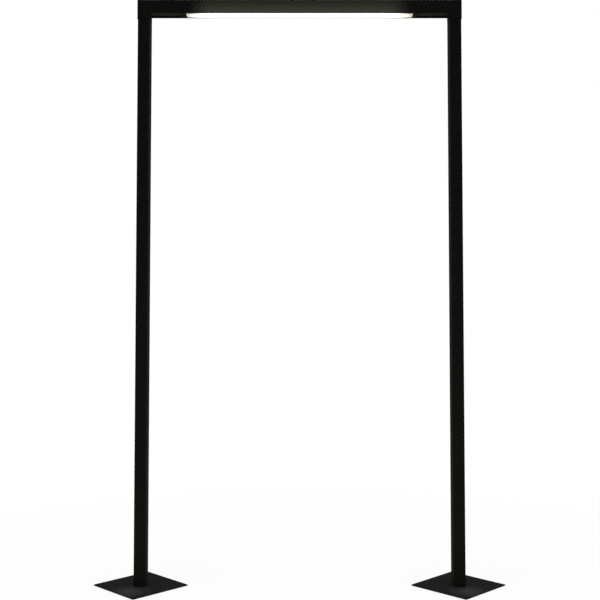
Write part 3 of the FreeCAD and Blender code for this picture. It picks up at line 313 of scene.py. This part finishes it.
def new_tree(name, measures, counts=()):
    """Geometry tree with named inputs: the places, its measures and counts, a turn and a material."""
    kinds = {"Geometry": "NodeSocketGeometry"}
    kinds.update({measure: "NodeSocketFloat" for measure in measures})
    kinds.update({count: "NodeSocketInt" for count in counts})
    kinds.update({"Turn": "NodeSocketVector", "Material": "NodeSocketMaterial"})
    tree = bpy.data.node_groups.new(name, "GeometryNodeTree")
    for size, kind in kinds.items():
        tree.interface.new_socket(size, in_out="INPUT", socket_type=kind)
    tree.interface.new_socket("Geometry", in_out="OUTPUT", socket_type="NodeSocketGeometry")
    return tree, add(tree, "NodeGroupInput").outputs


def raised(tree, geometry, level):
    """Moves a mesh up by a level."""
    lift = add(tree, "ShaderNodeCombineXYZ", {"Z": level})
    return add(tree, "GeometryNodeTransform", {"Geometry": geometry, "Translation": lift})


def wound_thread(tree, radius, length, turns, depth, steps):
    """Ridge of a thread that winds up round the axis, with so many steps to a turn."""
    helix = add(tree, "GeometryNodeCurveSpiral", {
        "Resolution": steps, "Rotations": turns, "Start Radius": radius, "End Radius": radius,
        "Height": length})
    ridge = add(tree, "GeometryNodeCurvePrimitiveCircle", {"Resolution": 4, "Radius": depth})
    return add(tree, "GeometryNodeCurveToMesh", {
        "Curve": helix, "Profile Curve": ridge, "Fill Caps": True})


def kept_on_places(tree, size, *meshes):
    """Ends a tree: a copy of its meshes, turned, at each place, as one mesh with the material."""
    whole = add(tree, "GeometryNodeJoinGeometry")
    for mesh in meshes:
        tree.links.new(mesh.outputs[0], whole.inputs[0])
    copies = add(tree, "GeometryNodeInstanceOnPoints", {
        "Points": size["Geometry"], "Instance": whole, "Rotation": size["Turn"]})
    single = add(tree, "GeometryNodeRealizeInstances", {"Geometry": copies})
    coated = add(tree, "GeometryNodeSetMaterial", {"Geometry": single, "Material": size["Material"]})
    add(tree, "NodeGroupOutput", {"Geometry": coated})
    return tree


def screw_tree():
    """Screw with a hexagon socket and a rolled thread, its seat at each place."""
    tree, size = new_tree("screw", (
        "Shank Radius", "Length", "Head Start", "Head Foot Radius", "Head Radius", "Head Height",
        "Crown Radius", "Crown Height", "Socket Radius", "Socket Depth", "Thread Turns",
        "Thread Length", "Thread Depth"))
    start = size["Head Start"]
    tip = add(tree, "ShaderNodeMath", {0: size["Length"], 1: -1.0}, operation="MULTIPLY").outputs[0]
    rim = add(tree, "ShaderNodeMath", {0: start, 1: size["Head Height"]}, operation="ADD").outputs[0]
    crown = add(tree, "ShaderNodeMath", {0: rim, 1: size["Crown Height"]}, operation="ADD").outputs[0]
    # The turned profile from the tip to the crown: level and radius of each ring
    levels = (tip, start, start, rim, crown)
    radii = (size["Shank Radius"], size["Shank Radius"], size["Head Foot Radius"],
             size["Head Radius"], size["Crown Radius"])
    ring = add(tree, "GeometryNodeInputIndex")
    profile = []
    for values in (levels, radii):
        choice = add(tree, "GeometryNodeIndexSwitch", {"Index": ring}, data_type="FLOAT")
        while len(choice.index_switch_items) < len(values):
            choice.index_switch_items.new()
        for number, value in enumerate(values):
            tree.links.new(value, choice.inputs[1 + number])
        profile.append(choice)
    level, radius = profile
    line = add(tree, "GeometryNodeMeshLine", {"Count": len(levels), "Offset": (0.0, 0.0, 0.001)})
    axis = add(tree, "GeometryNodeSetPosition", {
        "Geometry": line, "Position": add(tree, "ShaderNodeCombineXYZ", {"Z": level})})
    path = add(tree, "GeometryNodeMeshToCurve", {"Mesh": axis})
    section = add(tree, "GeometryNodeCurvePrimitiveCircle", {"Resolution": 48, "Radius": 1.0})
    turned = add(tree, "GeometryNodeCurveToMesh", {
        "Curve": path, "Profile Curve": section, "Scale": radius, "Fill Caps": True})
    solid = add(tree, "GeometryNodeMergeByDistance", {"Geometry": turned, "Distance": 0.00001})
    deep = size["Socket Depth"]
    key = add(tree, "GeometryNodeMeshCone", {
        "Vertices": 6, "Radius Top": size["Socket Radius"], "Radius Bottom": size["Socket Radius"],
        "Depth": add(tree, "ShaderNodeMath", {0: deep, 1: 2.0}, operation="MULTIPLY")})
    bottom = add(tree, "ShaderNodeMath", {0: crown, 1: deep}, operation="SUBTRACT")
    drilled = add(tree, "GeometryNodeMeshBoolean", {
        "Mesh 1": solid, "Mesh 2": raised(tree, key, bottom)}, operation="DIFFERENCE")
    thread = wound_thread(tree, size["Shank Radius"], size["Thread Length"], size["Thread Turns"],
                          size["Thread Depth"], steps=20)
    return kept_on_places(tree, size, drilled, raised(tree, thread, tip))


def pad_tree():
    """Round rubber pad with ribs in rings below it, its underside at each place."""
    tree, size = new_tree("ribbed_pad", ("Radius", "Thickness", "Rib Height"), ("Rings",))
    rib = size["Rib Height"]
    depth = add(tree, "ShaderNodeMath", {0: size["Thickness"], 1: rib}, operation="SUBTRACT")
    bevel = add(tree, "ShaderNodeMath", {0: rib, 1: 0.8}, operation="MULTIPLY")
    inner = add(tree, "ShaderNodeMath", {0: size["Radius"], 1: bevel}, operation="SUBTRACT")
    disc = add(tree, "GeometryNodeMeshCone", {
        "Vertices": 64, "Radius Top": size["Radius"], "Radius Bottom": inner, "Depth": depth})
    steps = add(tree, "ShaderNodeMath", {0: size["Rings"], 1: 0.4}, operation="ADD")
    pitch = add(tree, "ShaderNodeMath", {0: inner, 1: steps}, operation="DIVIDE")
    order = add(tree, "GeometryNodeInputIndex")
    number = add(tree, "ShaderNodeMath", {0: order, 1: 1.0}, operation="ADD")
    wide = add(tree, "ShaderNodeMath", {0: number, 1: pitch}, operation="MULTIPLY")
    row = add(tree, "GeometryNodeMeshLine", {"Count": size["Rings"], "Offset": (0.0, 0.0, 0.0)})
    ring = add(tree, "GeometryNodeCurvePrimitiveCircle", {"Resolution": 64, "Radius": 1.0})
    rings = add(tree, "GeometryNodeInstanceOnPoints", {"Points": row, "Instance": ring, "Scale": wide})
    paths = add(tree, "GeometryNodeRealizeInstances", {"Geometry": rings})
    section = add(tree, "GeometryNodeCurvePrimitiveCircle", {"Resolution": 8, "Radius": rib})
    ribs = add(tree, "GeometryNodeCurveToMesh", {"Curve": paths, "Profile Curve": section})
    return kept_on_places(tree, size, raised(tree, disc, rib), raised(tree, ribs, rib))


def ridge_tree():
    """Ring of grip ridges along the axis of a turned part, its foot at each place."""
    tree, size = new_tree("grip_ridges", ("Ring Radius", "Ridge Radius", "Ridge Length"), ("Count",))
    ring = add(tree, "GeometryNodeMeshCircle", {
        "Vertices": size["Count"], "Radius": size["Ring Radius"]})
    taper = add(tree, "ShaderNodeMath", {0: size["Ridge Radius"], 1: 0.8}, operation="MULTIPLY")
    bar = add(tree, "GeometryNodeMeshCone", {
        "Vertices": 10, "Radius Top": taper, "Radius Bottom": size["Ridge Radius"],
        "Depth": size["Ridge Length"]})
    bars = add(tree, "GeometryNodeInstanceOnPoints", {"Points": ring, "Instance": bar})
    return kept_on_places(tree, size, bars)


def thread_tree():
    """Outer thread of a turned collar, its start at each place."""
    tree, size = new_tree("collar_thread", ("Radius", "Length", "Turns", "Depth"))
    thread = wound_thread(tree, size["Radius"], size["Length"], size["Turns"], size["Depth"], steps=48)
    return kept_on_places(tree, size, thread)


def bead_tree():
    """Round bead on a flat face, its middle at each place."""
    tree, size = new_tree("round_bead", ("Radius", "Height"))
    ring = add(tree, "GeometryNodeCurvePrimitiveCircle", {"Resolution": 64, "Radius": size["Radius"]})
    section = add(tree, "GeometryNodeCurvePrimitiveCircle", {
        "Resolution": 12, "Radius": size["Height"]})
    bead = add(tree, "GeometryNodeCurveToMesh", {"Curve": ring, "Profile Curve": section})
    return kept_on_places(tree, size, bead)


def grow(name, tree, places, sizes, body, replaced=()):
    """Runs a tree on places and keeps what it makes as a plain mesh that rides on a body."""
    mesh = bpy.data.meshes.new(name)
    mesh.from_pydata(places, [], [])
    piece = bpy.data.objects.new(name, mesh)
    bpy.context.scene.collection.objects.link(piece)
    maker = piece.modifiers.new("maker", "NODES")
    maker.node_group = tree
    for item in tree.interface.items_tree:
        if item.in_out == "INPUT" and item.name != "Geometry":
            maker[item.identifier] = sizes[item.name]
    bpy.context.view_layer.update()
    graph = bpy.context.evaluated_depsgraph_get()
    made = bpy.data.meshes.new_from_object(piece.evaluated_get(graph))
    if not made.polygons:
        raise RuntimeError(f"{name} came out empty")
    piece.modifiers.clear()
    piece.data = made
    made.name = name
    made.materials.clear()
    made.materials.append(sizes["Material"])
    made.shade_smooth()
    made.set_sharp_from_angle(angle=SMOOTH_ANGLE)
    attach(piece, body)
    if replaced:
        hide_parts(*replaced)


class LampFinishes(bpy.types.PropertyGroup):
    """Colours and light of the lamp."""

    frame_colour: FloatVectorProperty(
        name="Frame colour", description="Colour of the powder coat on the posts and the beam",
        subtype="COLOR", size=4, min=0.0, max=1.0, default=colour("#080807"))
    plate_colour: FloatVectorProperty(
        name="Plate colour", description="Colour of the powder coat on the base plates",
        subtype="COLOR", size=4, min=0.0, max=1.0, default=colour("#0F1010"))
    light_colour: FloatVectorProperty(
        name="Light colour", description="Colour of the lit window", subtype="COLOR", size=4,
        min=0.0, max=1.0, default=colour("#FFF4DC"))
    light_strength: FloatProperty(
        name="Light strength", description="Brightness of the lit window, where 1 shows as white",
        default=8.0, min=0.0, max=50.0)


class LampHardware(bpy.types.PropertyGroup):
    """Sizes of the small hardware."""

    thread_pitch: FloatProperty(
        name="Thread pitch", description="Rise of the screw threads for each millimetre of diameter",
        default=0.16, min=0.05, max=0.5)
    pad_rings: IntProperty(
        name="Pad rings", description="Ribs under each foot pad", default=5, min=1, max=12)
    bezel_ridges: IntProperty(
        name="Bezel ridges", description="Grip ridges round the rim of the push button", default=48,
        min=12, max=96)


class LampStage(bpy.types.PropertyGroup):
    """Camera of the studio."""

    camera_distance: FloatProperty(
        name="Camera distance", description="Distance of the camera in front of the lamp",
        default=3.3718, min=1.0, max=20.0, unit="LENGTH")
    camera_height: FloatProperty(
        name="Camera height", description="Height of the camera over the floor", default=0.9671,
        min=0.0, max=5.0, unit="LENGTH")
    camera_tilt: FloatProperty(
        name="Camera tilt", description="Upward tilt of the camera", default=math.radians(2.69),
        subtype="ANGLE")
    lens: FloatProperty(
        name="Lens", description="Focal length of the camera in millimetres", default=58.96,
        min=10.0, max=200.0, unit="CAMERA")


class LAMP_OT_frame(bpy.types.Operator):
    """Coats the posts, the beam and its corners"""

    bl_idname = "lamp.coat_frame"
    bl_label = "Coat frame"

    def execute(self, context):
        # Polyester powder coat, sprayed and baked on aluminium tube: a warm matte black with a fine
        # pebbled skin whose crests carry a painted glint. Its real grain of about 0.4 mm is drawn at
        # 1.1 mm so that it shows. The posts turn a warmer, paler brown low down. The beam carries a
        # painted glow from the window on its faces over it, and painted warm light from the window on
        # the web of its groove.
        coat = context.scene.lamp_finishes.frame_colour
        skin = {
            "shades": (toned(coat, -0.25), toned(coat, 0.0006)), "patch_mm": 240,
            "rough": (0.72, 0.84), "grain_mm": 1.1, "grain_height_mm": 0.10, "painted_glint": 0.0075,
            "worn": toned(coat, 0.005), "wear_mm": 2.0, "polish": 0.0, "specular": 0.015}
        warmer_below = finish("powder_coat_black_posts", tints=[("#17140E", warmer_low_down)], **skin)
        dress(warmer_below, *both("post"))
        # The grey-olive tint is a painted glow from the window, the brown one painted warm light on the
        # web
        painted_lights = [("#424239", painted_window_glow), ("#27211A", painted_groove_light)]
        painted_light_coat = finish("powder_coat_black_beam", tints=painted_lights, **skin)
        dress(painted_light_coat, "beam_tube", *both("corner_connector"))
        return {"FINISHED"}


class LAMP_OT_plates(bpy.types.Operator):
    """Coats the base plates"""

    bl_idname = "lamp.coat_plates"
    bl_label = "Coat base plates"

    def execute(self, context):
        # Powder coat with a coarser texture on laser-cut steel plate: neutral dark grey whose crests
        # carry a painted glint, with a painted highlight on the plate in front of each post, on its
        # outer side
        coat = context.scene.lamp_finishes.plate_colour
        skin = finish(
            "powder_coat_plate", (toned(coat, -0.25), toned(coat, 0.0015)), patch_mm=90,
            rough=(0.70, 0.82), grain_mm=1.5, grain_height_mm=0.12, painted_glint=0.0125,
            tints=[("#303131", painted_plate_highlight)], worn=toned(coat, 0.0125), wear_mm=1.2, polish=0.0,
            specular=0.015)
        dress(skin, *both("base_plate"))
        return {"FINISHED"}


class LAMP_OT_pads(bpy.types.Operator):
    """Makes the ribbed rubber pads under the plates"""

    bl_idname = "lamp.make_pads"
    bl_label = "Make foot pads"

    def execute(self, context):
        # Moulded EPDM rubber: dull black with a bloom of grey and a soft grain
        rubber = finish(
            "epdm_rubber_moulded", ("#151515", "#202020"), patch_mm=12, rough=(0.72, 0.88),
            grain_mm=0.9, grain_height_mm=0.04, specular=0.3)
        hardware = context.scene.lamp_hardware
        reach = PAD_HIGH.y - PAD_RADIUS
        places = []
        for side in (-POST_X, POST_X):
            places += [(side - reach, 0, 0), (side + reach, 0, 0), (side, -reach, 0), (side, reach, 0)]
        grow("foot_pads", pad_tree(), places, {
            "Radius": PAD_RADIUS, "Thickness": PAD_HIGH.z, "Rib Height": PAD_RIB,
            "Rings": hardware.pad_rings, "Turn": HEAD_UP, "Material": rubber},
            "stand", both("foot_pads"))
        dress(rubber, "profile_gasket", "switch_seal", "inlet_seal", "cable_grommet")
        return {"FINISHED"}


class LAMP_OT_screws(bpy.types.Operator):
    """Makes all screws of the lamp"""

    bl_idname = "lamp.make_screws"
    bl_label = "Make screws"

    def execute(self, context):
        # Black oxide on turned and rolled steel: blue-black metal, polished where a key has turned
        steel = finish(
            "screw_steel_black_oxide", ("#17181A", "#26272A"), patch_mm=4, rough=(0.32, 0.46),
            grain_mm=0.5, grain_height_mm=0.01, worn="#6C6C6C", wear_mm=0.35, metallic=0.9)
        tree = screw_tree()
        pitch_share = context.scene.lamp_hardware.thread_pitch
        # Shank, length, width and height of the head and width of the key in millimetres. The grid is
        # the number of columns and rows in a node's box.
        families = {
            "base_screws": ScrewSet(
                "stand", HEAD_DOWN, "countersunk", 6, 24, 12, 0, 4, (1, 2), both("base_screws")),
            "foot_screws": ScrewSet(
                "stand", HEAD_REAR, "raised", 5, 14, 9.5, 2.7, 3, (2, 1), both("foot_screws")),
            "clamp_screws": ScrewSet(
                "stand", HEAD_REAR, "none", 6, 10, 6, 0, 3, (1, 2), both("clamp_screws")),
            "corner_screws": ScrewSet(
                "head", HEAD_UP, "raised", 8, 18, 13, 8, 6, (1, 2), both("corner_screws")),
            "channel_screws": ScrewSet(
                "head", HEAD_DOWN, "countersunk", 3, 7, 5.6, 0, 2, (4, 2), ("profile_screws",)),
            "window_end_screws": ScrewSet(
                "head", HEAD_DOWN, "raised", 3, 10, 5.7, 1.6, 2, (2, 2), ("lens_end_screws",)),
            "gear_screws": ScrewSet(
                "head", HEAD_UP, "raised", 4, 5, 7.6, 2.2, 2.5, (2, 1), ("driver_screws",)),
            "contact_screws": ScrewSet(
                "stand", HEAD_REAR, "raised", 4, 12, 7.6, 2.2, 2.5, (2, 1), ("dock_screws",)),
        }
        # Bevel of a rim, land of a countersunk head, play of a shank in its hole, the least plain
        # neck, the length past which a screw has a longer neck, and the deepest key socket, in
        # millimetres
        bevel = 0.5
        land = 0.15
        play = 0.1
        short_neck = 1.0
        long_screw = 12
        deepest = 2.0
        for name, screw in families.items():
            shank = screw.shank
            neck = (screw.width - shank) / 2
            # Start, foot, rim and height of the head, then the width and height of its crown
            start, foot, rim, rise, crown, top = {
                "countersunk": (-neck, shank, screw.width, neck - land, screw.width, land),
                "raised": (0, screw.width, screw.width, screw.height - bevel, screw.width - 2 * bevel,
                           bevel),
                "none": (-2 * bevel, shank, shank, bevel, shank - 2 * bevel, bevel),
            }[screw.head]
            plain = max(neck, short_neck)
            if screw.head == "raised" and screw.length > long_screw:
                plain = 1.2 * shank
            threaded = screw.length - plain
            pitch = pitch_share * shank
            lengths = {
                "Shank Radius": shank / 2 - play, "Length": screw.length, "Head Start": start,
                "Head Foot Radius": foot / 2 - (play if foot == shank else 0), "Head Radius": rim / 2,
                "Head Height": rise, "Crown Radius": crown / 2, "Crown Height": top,
                "Socket Radius": screw.key / math.sqrt(3), "Socket Depth": min(deepest, 0.8 * shank),
                "Thread Length": threaded, "Thread Depth": 0.35 * pitch}
            sizes = {size: value / 1000 for size, value in lengths.items()}
            sizes.update({"Thread Turns": threaded / pitch, "Turn": screw.turn, "Material": steel})
            places = [place for node in screw.nodes for place in seats(node, screw)]
            grow(name, tree, places, sizes, screw.body, screw.nodes)
        return {"FINISHED"}


class LAMP_OT_window(bpy.types.Operator):
    """Lights the window and finishes its ends and channel"""

    bl_idname = "lamp.light_window"
    bl_label = "Light window"

    def execute(self, context):
        # Opal acrylic, extruded: a satin skin with faint lines along it. Lit from behind, it is
        # brightest over the boards, warmer and dimmer along its edges, and fades in a fan to its
        # ends, past the last emitters. It lets most light through, so unlit it is a mid grey, darkened
        # further as painted shade for the shaded ends of the window.
        lamp = context.scene.lamp_finishes
        material = bpy.data.materials.new("acrylic_opal_extruded")
        tree = empty_tree(material)
        place = add(tree, "ShaderNodeTexCoord").outputs["Object"]
        parts = add(tree, "ShaderNodeSeparateXYZ", {"Vector": place}).outputs
        along = add(tree, "ShaderNodeMath", {0: parts["X"]}, operation="ABSOLUTE")
        across = add(tree, "ShaderNodeMath", {0: parts["Y"]}, operation="ABSOLUTE")
        inward = add(tree, "ShaderNodeMapRange", {
            "Value": along, "From Min": LENS_HIGH.x - END_FADE, "From Max": LENS_HIGH.x,
            "To Min": 1.0, "To Max": 0.0})
        rising = add(tree, "ShaderNodeMath", {0: inward, 1: 1.5}, operation="POWER")
        to_end = add(tree, "ShaderNodeMapRange", {"Value": rising, "To Min": 0.05})
        core = add(tree, "ShaderNodeMapRange", {
            "Value": inward, "From Max": 0.5, "To Min": LENS_HIGH.y - CORNER_FADE,
            "To Max": LENS_HIGH.y - EDGE_FADE})
        rim = add(tree, "ShaderNodeMapRange", {"Value": inward, "From Max": 0.5, "To Max": 0.2})
        to_edge = add(tree, "ShaderNodeMapRange", {
            "Value": across, "From Min": core, "From Max": LENS_HIGH.y, "To Min": 1.0, "To Max": rim})
        lines = add(tree, "ShaderNodeMapping", {"Vector": place, "Scale": (0.02, 1.0, 1.0)})
        drawn = add(tree, "ShaderNodeTexNoise", {
            "Vector": lines, "Scale": per_metre(1.2), "Detail": 2.0})
        even = add(tree, "ShaderNodeMapRange", {
            "Value": drawn, "From Min": NOISE_LOW, "From Max": NOISE_HIGH, "To Min": 0.96})
        fan = add(tree, "ShaderNodeMath", {0: to_end, 1: to_edge}, operation="MULTIPLY")
        glow = add(tree, "ShaderNodeMath", {0: fan, 1: even}, operation="MULTIPLY")
        tone = add(tree, "ShaderNodeMix", {
            SHARE: to_edge, FIRST: colour("#FFE6BE"), SECOND: colour(lamp.light_colour)},
            data_type="RGBA")
        light = add(tree, "ShaderNodeMix", {SHARE: glow, FIRST: BLACK, SECOND: tone},
                    data_type="RGBA")
        # A grey darker than the opal's own, as painted shade for the window's shaded ends
        opal_with_painted_shade = add(tree, "ShaderNodeMix", {
            SHARE: even, FIRST: colour("#787671"), SECOND: colour("#888681")}, data_type="RGBA")
        gloss = add(tree, "ShaderNodeMapRange", {
            "Value": drawn, "From Min": NOISE_LOW, "From Max": NOISE_HIGH, "To Min": 0.34,
            "To Max": 0.46})
        skin = add(tree, "ShaderNodeBump", {"Strength": 0.3, "Distance": 0.00002, "Height": drawn})
        shader = add(tree, "ShaderNodeBsdfPrincipled", {
            "Base Color": opal_with_painted_shade, "Roughness": gloss, "Normal": skin, "IOR": 1.49,
            "Emission Color": light, "Emission Strength": lamp.light_strength})
        add(tree, "ShaderNodeOutputMaterial", {"Surface": shader})
        dress(material, "lens")
        # ASA, injection moulded in a spark-eroded tool: deep black with a fine even matte grain
        plastic = finish(
            "asa_plastic_moulded", ("#080807", "#0E0E0D"), patch_mm=60, rough=(0.68, 0.80),
            grain_mm=1.0, grain_height_mm=0.03, grain="cells", worn="#1C1C1B", wear_mm=0.8,
            polish=0.05, specular=0.015)
        dress(plastic, *both("end_cap"), *both("lens_end"))
        # Aluminium, extruded and left bare: grey metal with fine die lines along its length
        bare = finish(
            "aluminium_extruded", ("#9C9EA0", "#B6B8BA"), patch_mm=60, rough=(0.34, 0.48),
            grain_mm=0.6, grain_height_mm=0.01, stretch=(0.02, 1, 1), worn="#D0D1D2", wear_mm=0.4,
            metallic=1.0)
        dress(bare, "led_profile")
        return {"FINISHED"}


class LAMP_OT_gear(bpy.types.Operator):
    """Finishes the electrical parts inside the lamp"""

    bl_idname = "lamp.finish_gear"
    bl_label = "Finish gear"

    def execute(self, context):
        # Solder mask on aluminium-core board: glossy white, faintly clouded
        mask = finish(
            "solder_mask_white", ("#E4E4DF", "#F2F2EE"), patch_mm=20, rough=(0.28, 0.38),
            grain_mm=0.8, grain_height_mm=0.004)
        dress(mask, "led_board_1", "led_board_2", "led_board_3")
        # Phosphor in silicone: satin yellow
        phosphor = finish(
            "phosphor_silicone", ("#E8C94A", "#F2D968"), patch_mm=1.5, rough=(0.3, 0.45),
            grain_mm=0.3, grain_height_mm=0.01)
        dress(phosphor, "led_emitters")
        # Polycarbonate, injection moulded: pale grey with a fine matte grain
        case = finish(
            "polycarbonate_moulded", ("#C9CAC8", "#D6D7D5"), patch_mm=40, rough=(0.4, 0.52),
            grain_mm=0.9, grain_height_mm=0.02, grain="cells", worn="#E4E4E2", wear_mm=0.6)
        dress(case, "led_driver")
        # Polyamide, injection moulded: dull light grey
        terminals = finish(
            "polyamide_moulded", ("#8F9294", "#A0A3A5"), patch_mm=25, rough=(0.48, 0.6),
            grain_mm=0.8, grain_height_mm=0.02, grain="cells", worn="#B9BBBC", wear_mm=0.5)
        dress(terminals, "terminal_block")
        # PVC, extruded over the cores: soft black with a waxy sheen
        sheath = finish(
            "pvc_sheath_extruded", ("#141414", "#1D1D1C"), patch_mm=15, rough=(0.42, 0.55),
            grain_mm=0.7, grain_height_mm=0.01)
        dress(sheath, "inlet_lead", "switch_lead", "led_lead", "driver_lead", "head_lead")
        # PBT, injection moulded: dense dark grey, slightly glossy
        contact = finish(
            "pbt_plastic_moulded", ("#2A2B2C", "#353637"), patch_mm=18, rough=(0.34, 0.46),
            grain_mm=0.8, grain_height_mm=0.02, grain="cells", worn="#4A4B4C", wear_mm=0.5)
        dress(contact, "dock_plug", "dock_socket")
        # Brass, turned: yellow metal with ring marks and dull patches
        brass = finish(
            "brass_turned", ("#B08A3E", "#D0A95A"), patch_mm=5, rough=(0.24, 0.4),
            grain_mm=0.4, grain_height_mm=0.006, metallic=1.0)
        dress(brass, "dock_pins", "inlet_contacts")
        # Zinc plate, blue passivated, on machined steel: pale grey metal with cloudy blue and straw
        # tints
        zinc = finish(
            "zinc_plated_steel", ("#8E9396", "#B3B4AC"), patch_mm=9, rough=(0.36, 0.5),
            grain_mm=0.8, grain_height_mm=0.01, worn="#C9C9C6", wear_mm=0.5, metallic=1.0)
        dress(zinc, *both("foot_block"))
        # Zinc plate, black passivated, on pressed steel: dark satin metal, paler where a screw has
        # rubbed it
        dark_zinc = finish(
            "zinc_plated_steel_black", ("#141516", "#222324"), patch_mm=5, rough=(0.42, 0.56),
            grain_mm=0.6, grain_height_mm=0.01, worn="#5E5F60", wear_mm=0.35, metallic=0.9)
        dress(dark_zinc, *both("rivet_nuts"))
        return {"FINISHED"}


class LAMP_OT_controls(bpy.types.Operator):
    """Makes the grip and ring of the push button and the thread of the supply socket"""

    bl_idname = "lamp.make_controls"
    bl_label = "Make controls"

    def execute(self, context):
        # Aluminium, turned and black anodised: satin black metal, bright only where it is rubbed
        anodised = finish(
            "aluminium_anodised_black", ("#0E0E0F", "#171718"), patch_mm=10, rough=(0.34, 0.46),
            grain_mm=0.5, grain_height_mm=0.006, worn="#4C4C4D", wear_mm=0.4, metallic=0.7)
        dress(anodised, "switch_barrel", "switch_nut", "inlet_body", "inlet_nut")
        # Silicone keycap, moulded: soft dark grey with a powdery matte skin
        silicone = finish(
            "silicone_moulded", ("#2B2B2B", "#343433"), patch_mm=6, rough=(0.6, 0.72),
            grain_mm=0.5, grain_height_mm=0.01, worn="#454544", wear_mm=0.5)
        dress(silicone, "dimmer_button")
        # Depth of the grip's foot and of the thread's start below the outer faces, and how deep the
        # ridges are sunk into the rim, in metres
        grip_foot = 0.002
        thread_start = 0.0092
        sunk = 0.00005
        low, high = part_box("switch_barrel")
        level = (low.z + high.z) / 2
        rim = (high.z - low.z) / 2
        grow("bezel_grip", ridge_tree(), [(POST_X, high.y - grip_foot, level)], {
            "Count": context.scene.lamp_hardware.bezel_ridges, "Ring Radius": rim - sunk,
            "Ridge Radius": 0.00035, "Ridge Length": 0.0013, "Turn": HEAD_REAR,
            "Material": anodised}, "stand")
        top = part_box("dimmer_button")[1].y
        grow("button_ring", bead_tree(), [(POST_X, top, level)], {
            "Radius": 0.0032, "Height": 0.00025, "Turn": HEAD_REAR, "Material": silicone},
            "button")
        low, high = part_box("inlet_body")
        level = (low.z + high.z) / 2
        grow("socket_thread", thread_tree(), [(POST_X, high.y - thread_start, level)], {
            "Radius": 0.00595, "Length": 0.008, "Turns": 8.0, "Depth": 0.0004, "Turn": HEAD_REAR,
            "Material": anodised}, "stand")
        return {"FINISHED"}


class LAMP_OT_stage(bpy.types.Operator):
    """Sets up the floor, the light and the camera"""

    bl_idname = "lamp.set_stage"
    bl_label = "Set stage"

    def execute(self, context):
        scene = context.scene
        stage = scene.lamp_stage
        scene.view_settings.view_transform = "Standard"
        sheet = bpy.data.meshes.new("studio_floor")
        shape = bmesh.new()
        bmesh.ops.create_grid(shape, x_segments=8, y_segments=8, size=FLOOR_REACH)
        shape.to_mesh(sheet)
        shape.free()
        floor = bpy.data.objects.new("studio_floor", sheet)
        scene.collection.objects.link(floor)
        # Pale paper floor: near the lamp it takes the shadow, further out it fades to the white
        # backdrop. From below it isn't there, so that the underside can be looked at.
        paper = bpy.data.materials.new("paper_white")
        tree = empty_tree(paper)
        place = add(tree, "ShaderNodeTexCoord").outputs["Object"]
        reach = add(tree, "ShaderNodeVectorMath", {0: place}, operation="LENGTH")
        shade = add(tree, "ShaderNodeMapRange", {
            "Value": reach, "From Min": SHADOW_FROM, "From Max": SHADOW_TO, "To Min": SHADOW_SHARE,
            "To Max": 0.0}, interpolation_type="SMOOTHSTEP")
        matte = add(tree, "ShaderNodeBsdfDiffuse", {"Color": colour("#F8F8F6")})
        white = add(tree, "ShaderNodeEmission", {"Color": WHITE, "Strength": 1.0})
        shown = add(tree, "ShaderNodeMixShader", {0: shade, 1: white, 2: matte})
        above = add(tree, "ShaderNodeMixShader", {0: looked_at(tree), 1: matte, 2: shown})
        below = add(tree, "ShaderNodeNewGeometry").outputs["Backfacing"]
        clear = add(tree, "ShaderNodeBsdfTransparent")
        whole = add(tree, "ShaderNodeMixShader", {0: below, 1: above, 2: clear})
        add(tree, "ShaderNodeOutputMaterial", {"Surface": whole})
        sheet.materials.append(paper)
        world = bpy.data.worlds.new("studio")
        tree = empty_tree(world)
        level = add(tree, "ShaderNodeMapRange", {"Value": looked_at(tree), "To Min": SKY_LIGHT})
        sky = add(tree, "ShaderNodeBackground", {"Color": WHITE, "Strength": level})
        add(tree, "ShaderNodeOutputWorld", {"Surface": sky})
        scene.world = world
        for name, strength, turn in SUNS:
            sun = bpy.data.lights.new(name, "SUN")
            sun.energy = strength
            sun.angle = SUN_ANGLE
            light = bpy.data.objects.new(name, sun)
            light.rotation_euler = [math.radians(angle) for angle in turn]
            scene.collection.objects.link(light)
        eye = bpy.data.cameras.new("camera")
        eye.sensor_width = SENSOR_WIDTH
        eye.lens = stage.lens
        eye.shift_x = SHIFT_X
        eye.shift_y = SHIFT_Y
        eye.clip_end = SIGHT_END
        camera = bpy.data.objects.new("camera", eye)
        camera.location = (0.0, -stage.camera_distance, stage.camera_height)
        camera.rotation_euler = (math.pi / 2 + stage.camera_tilt, 0.0, 0.0)
        scene.collection.objects.link(camera)
        scene.camera = camera
        return {"FINISHED"}


class LAMP_PT_panel(bpy.types.Panel):
    """Steps and sizes of the lamp"""

    bl_idname = "LAMP_PT_panel"
    bl_label = "Outdoor floor lamp"
    bl_space_type = "VIEW_3D"
    bl_region_type = "UI"
    bl_category = "Lamp"

    def draw(self, context):
        scene = context.scene
        for step in STEPS:
            self.layout.operator(step.bl_idname)
        for group in (scene.lamp_finishes, scene.lamp_hardware, scene.lamp_stage):
            for name in group.__annotations__:
                self.layout.prop(group, name)


GROUPS = {"lamp_finishes": LampFinishes, "lamp_hardware": LampHardware, "lamp_stage": LampStage}
STEPS = (LAMP_OT_frame, LAMP_OT_plates, LAMP_OT_pads, LAMP_OT_screws, LAMP_OT_window, LAMP_OT_gear,
         LAMP_OT_controls, LAMP_OT_stage)


def register():
    for kind in (*GROUPS.values(), *STEPS, LAMP_PT_panel):
        bpy.utils.register_class(kind)
    for name, kind in GROUPS.items():
        setattr(bpy.types.Scene, name, PointerProperty(type=kind))


def unregister():
    for name in GROUPS:
        delattr(bpy.types.Scene, name)
    for kind in (LAMP_PT_panel, *reversed(STEPS), *reversed(GROUPS.values())):
        bpy.utils.unregister_class(kind)


def main():
    """Registers the steps and runs them in order."""
    register()
    bpy.ops.lamp.coat_frame()
    bpy.ops.lamp.coat_plates()
    bpy.ops.lamp.make_pads()
    bpy.ops.lamp.make_screws()
    bpy.ops.lamp.light_window()
    bpy.ops.lamp.finish_gear()
    bpy.ops.lamp.make_controls()
    bpy.ops.lamp.set_stage()


if __name__ == "__main__":
    main()
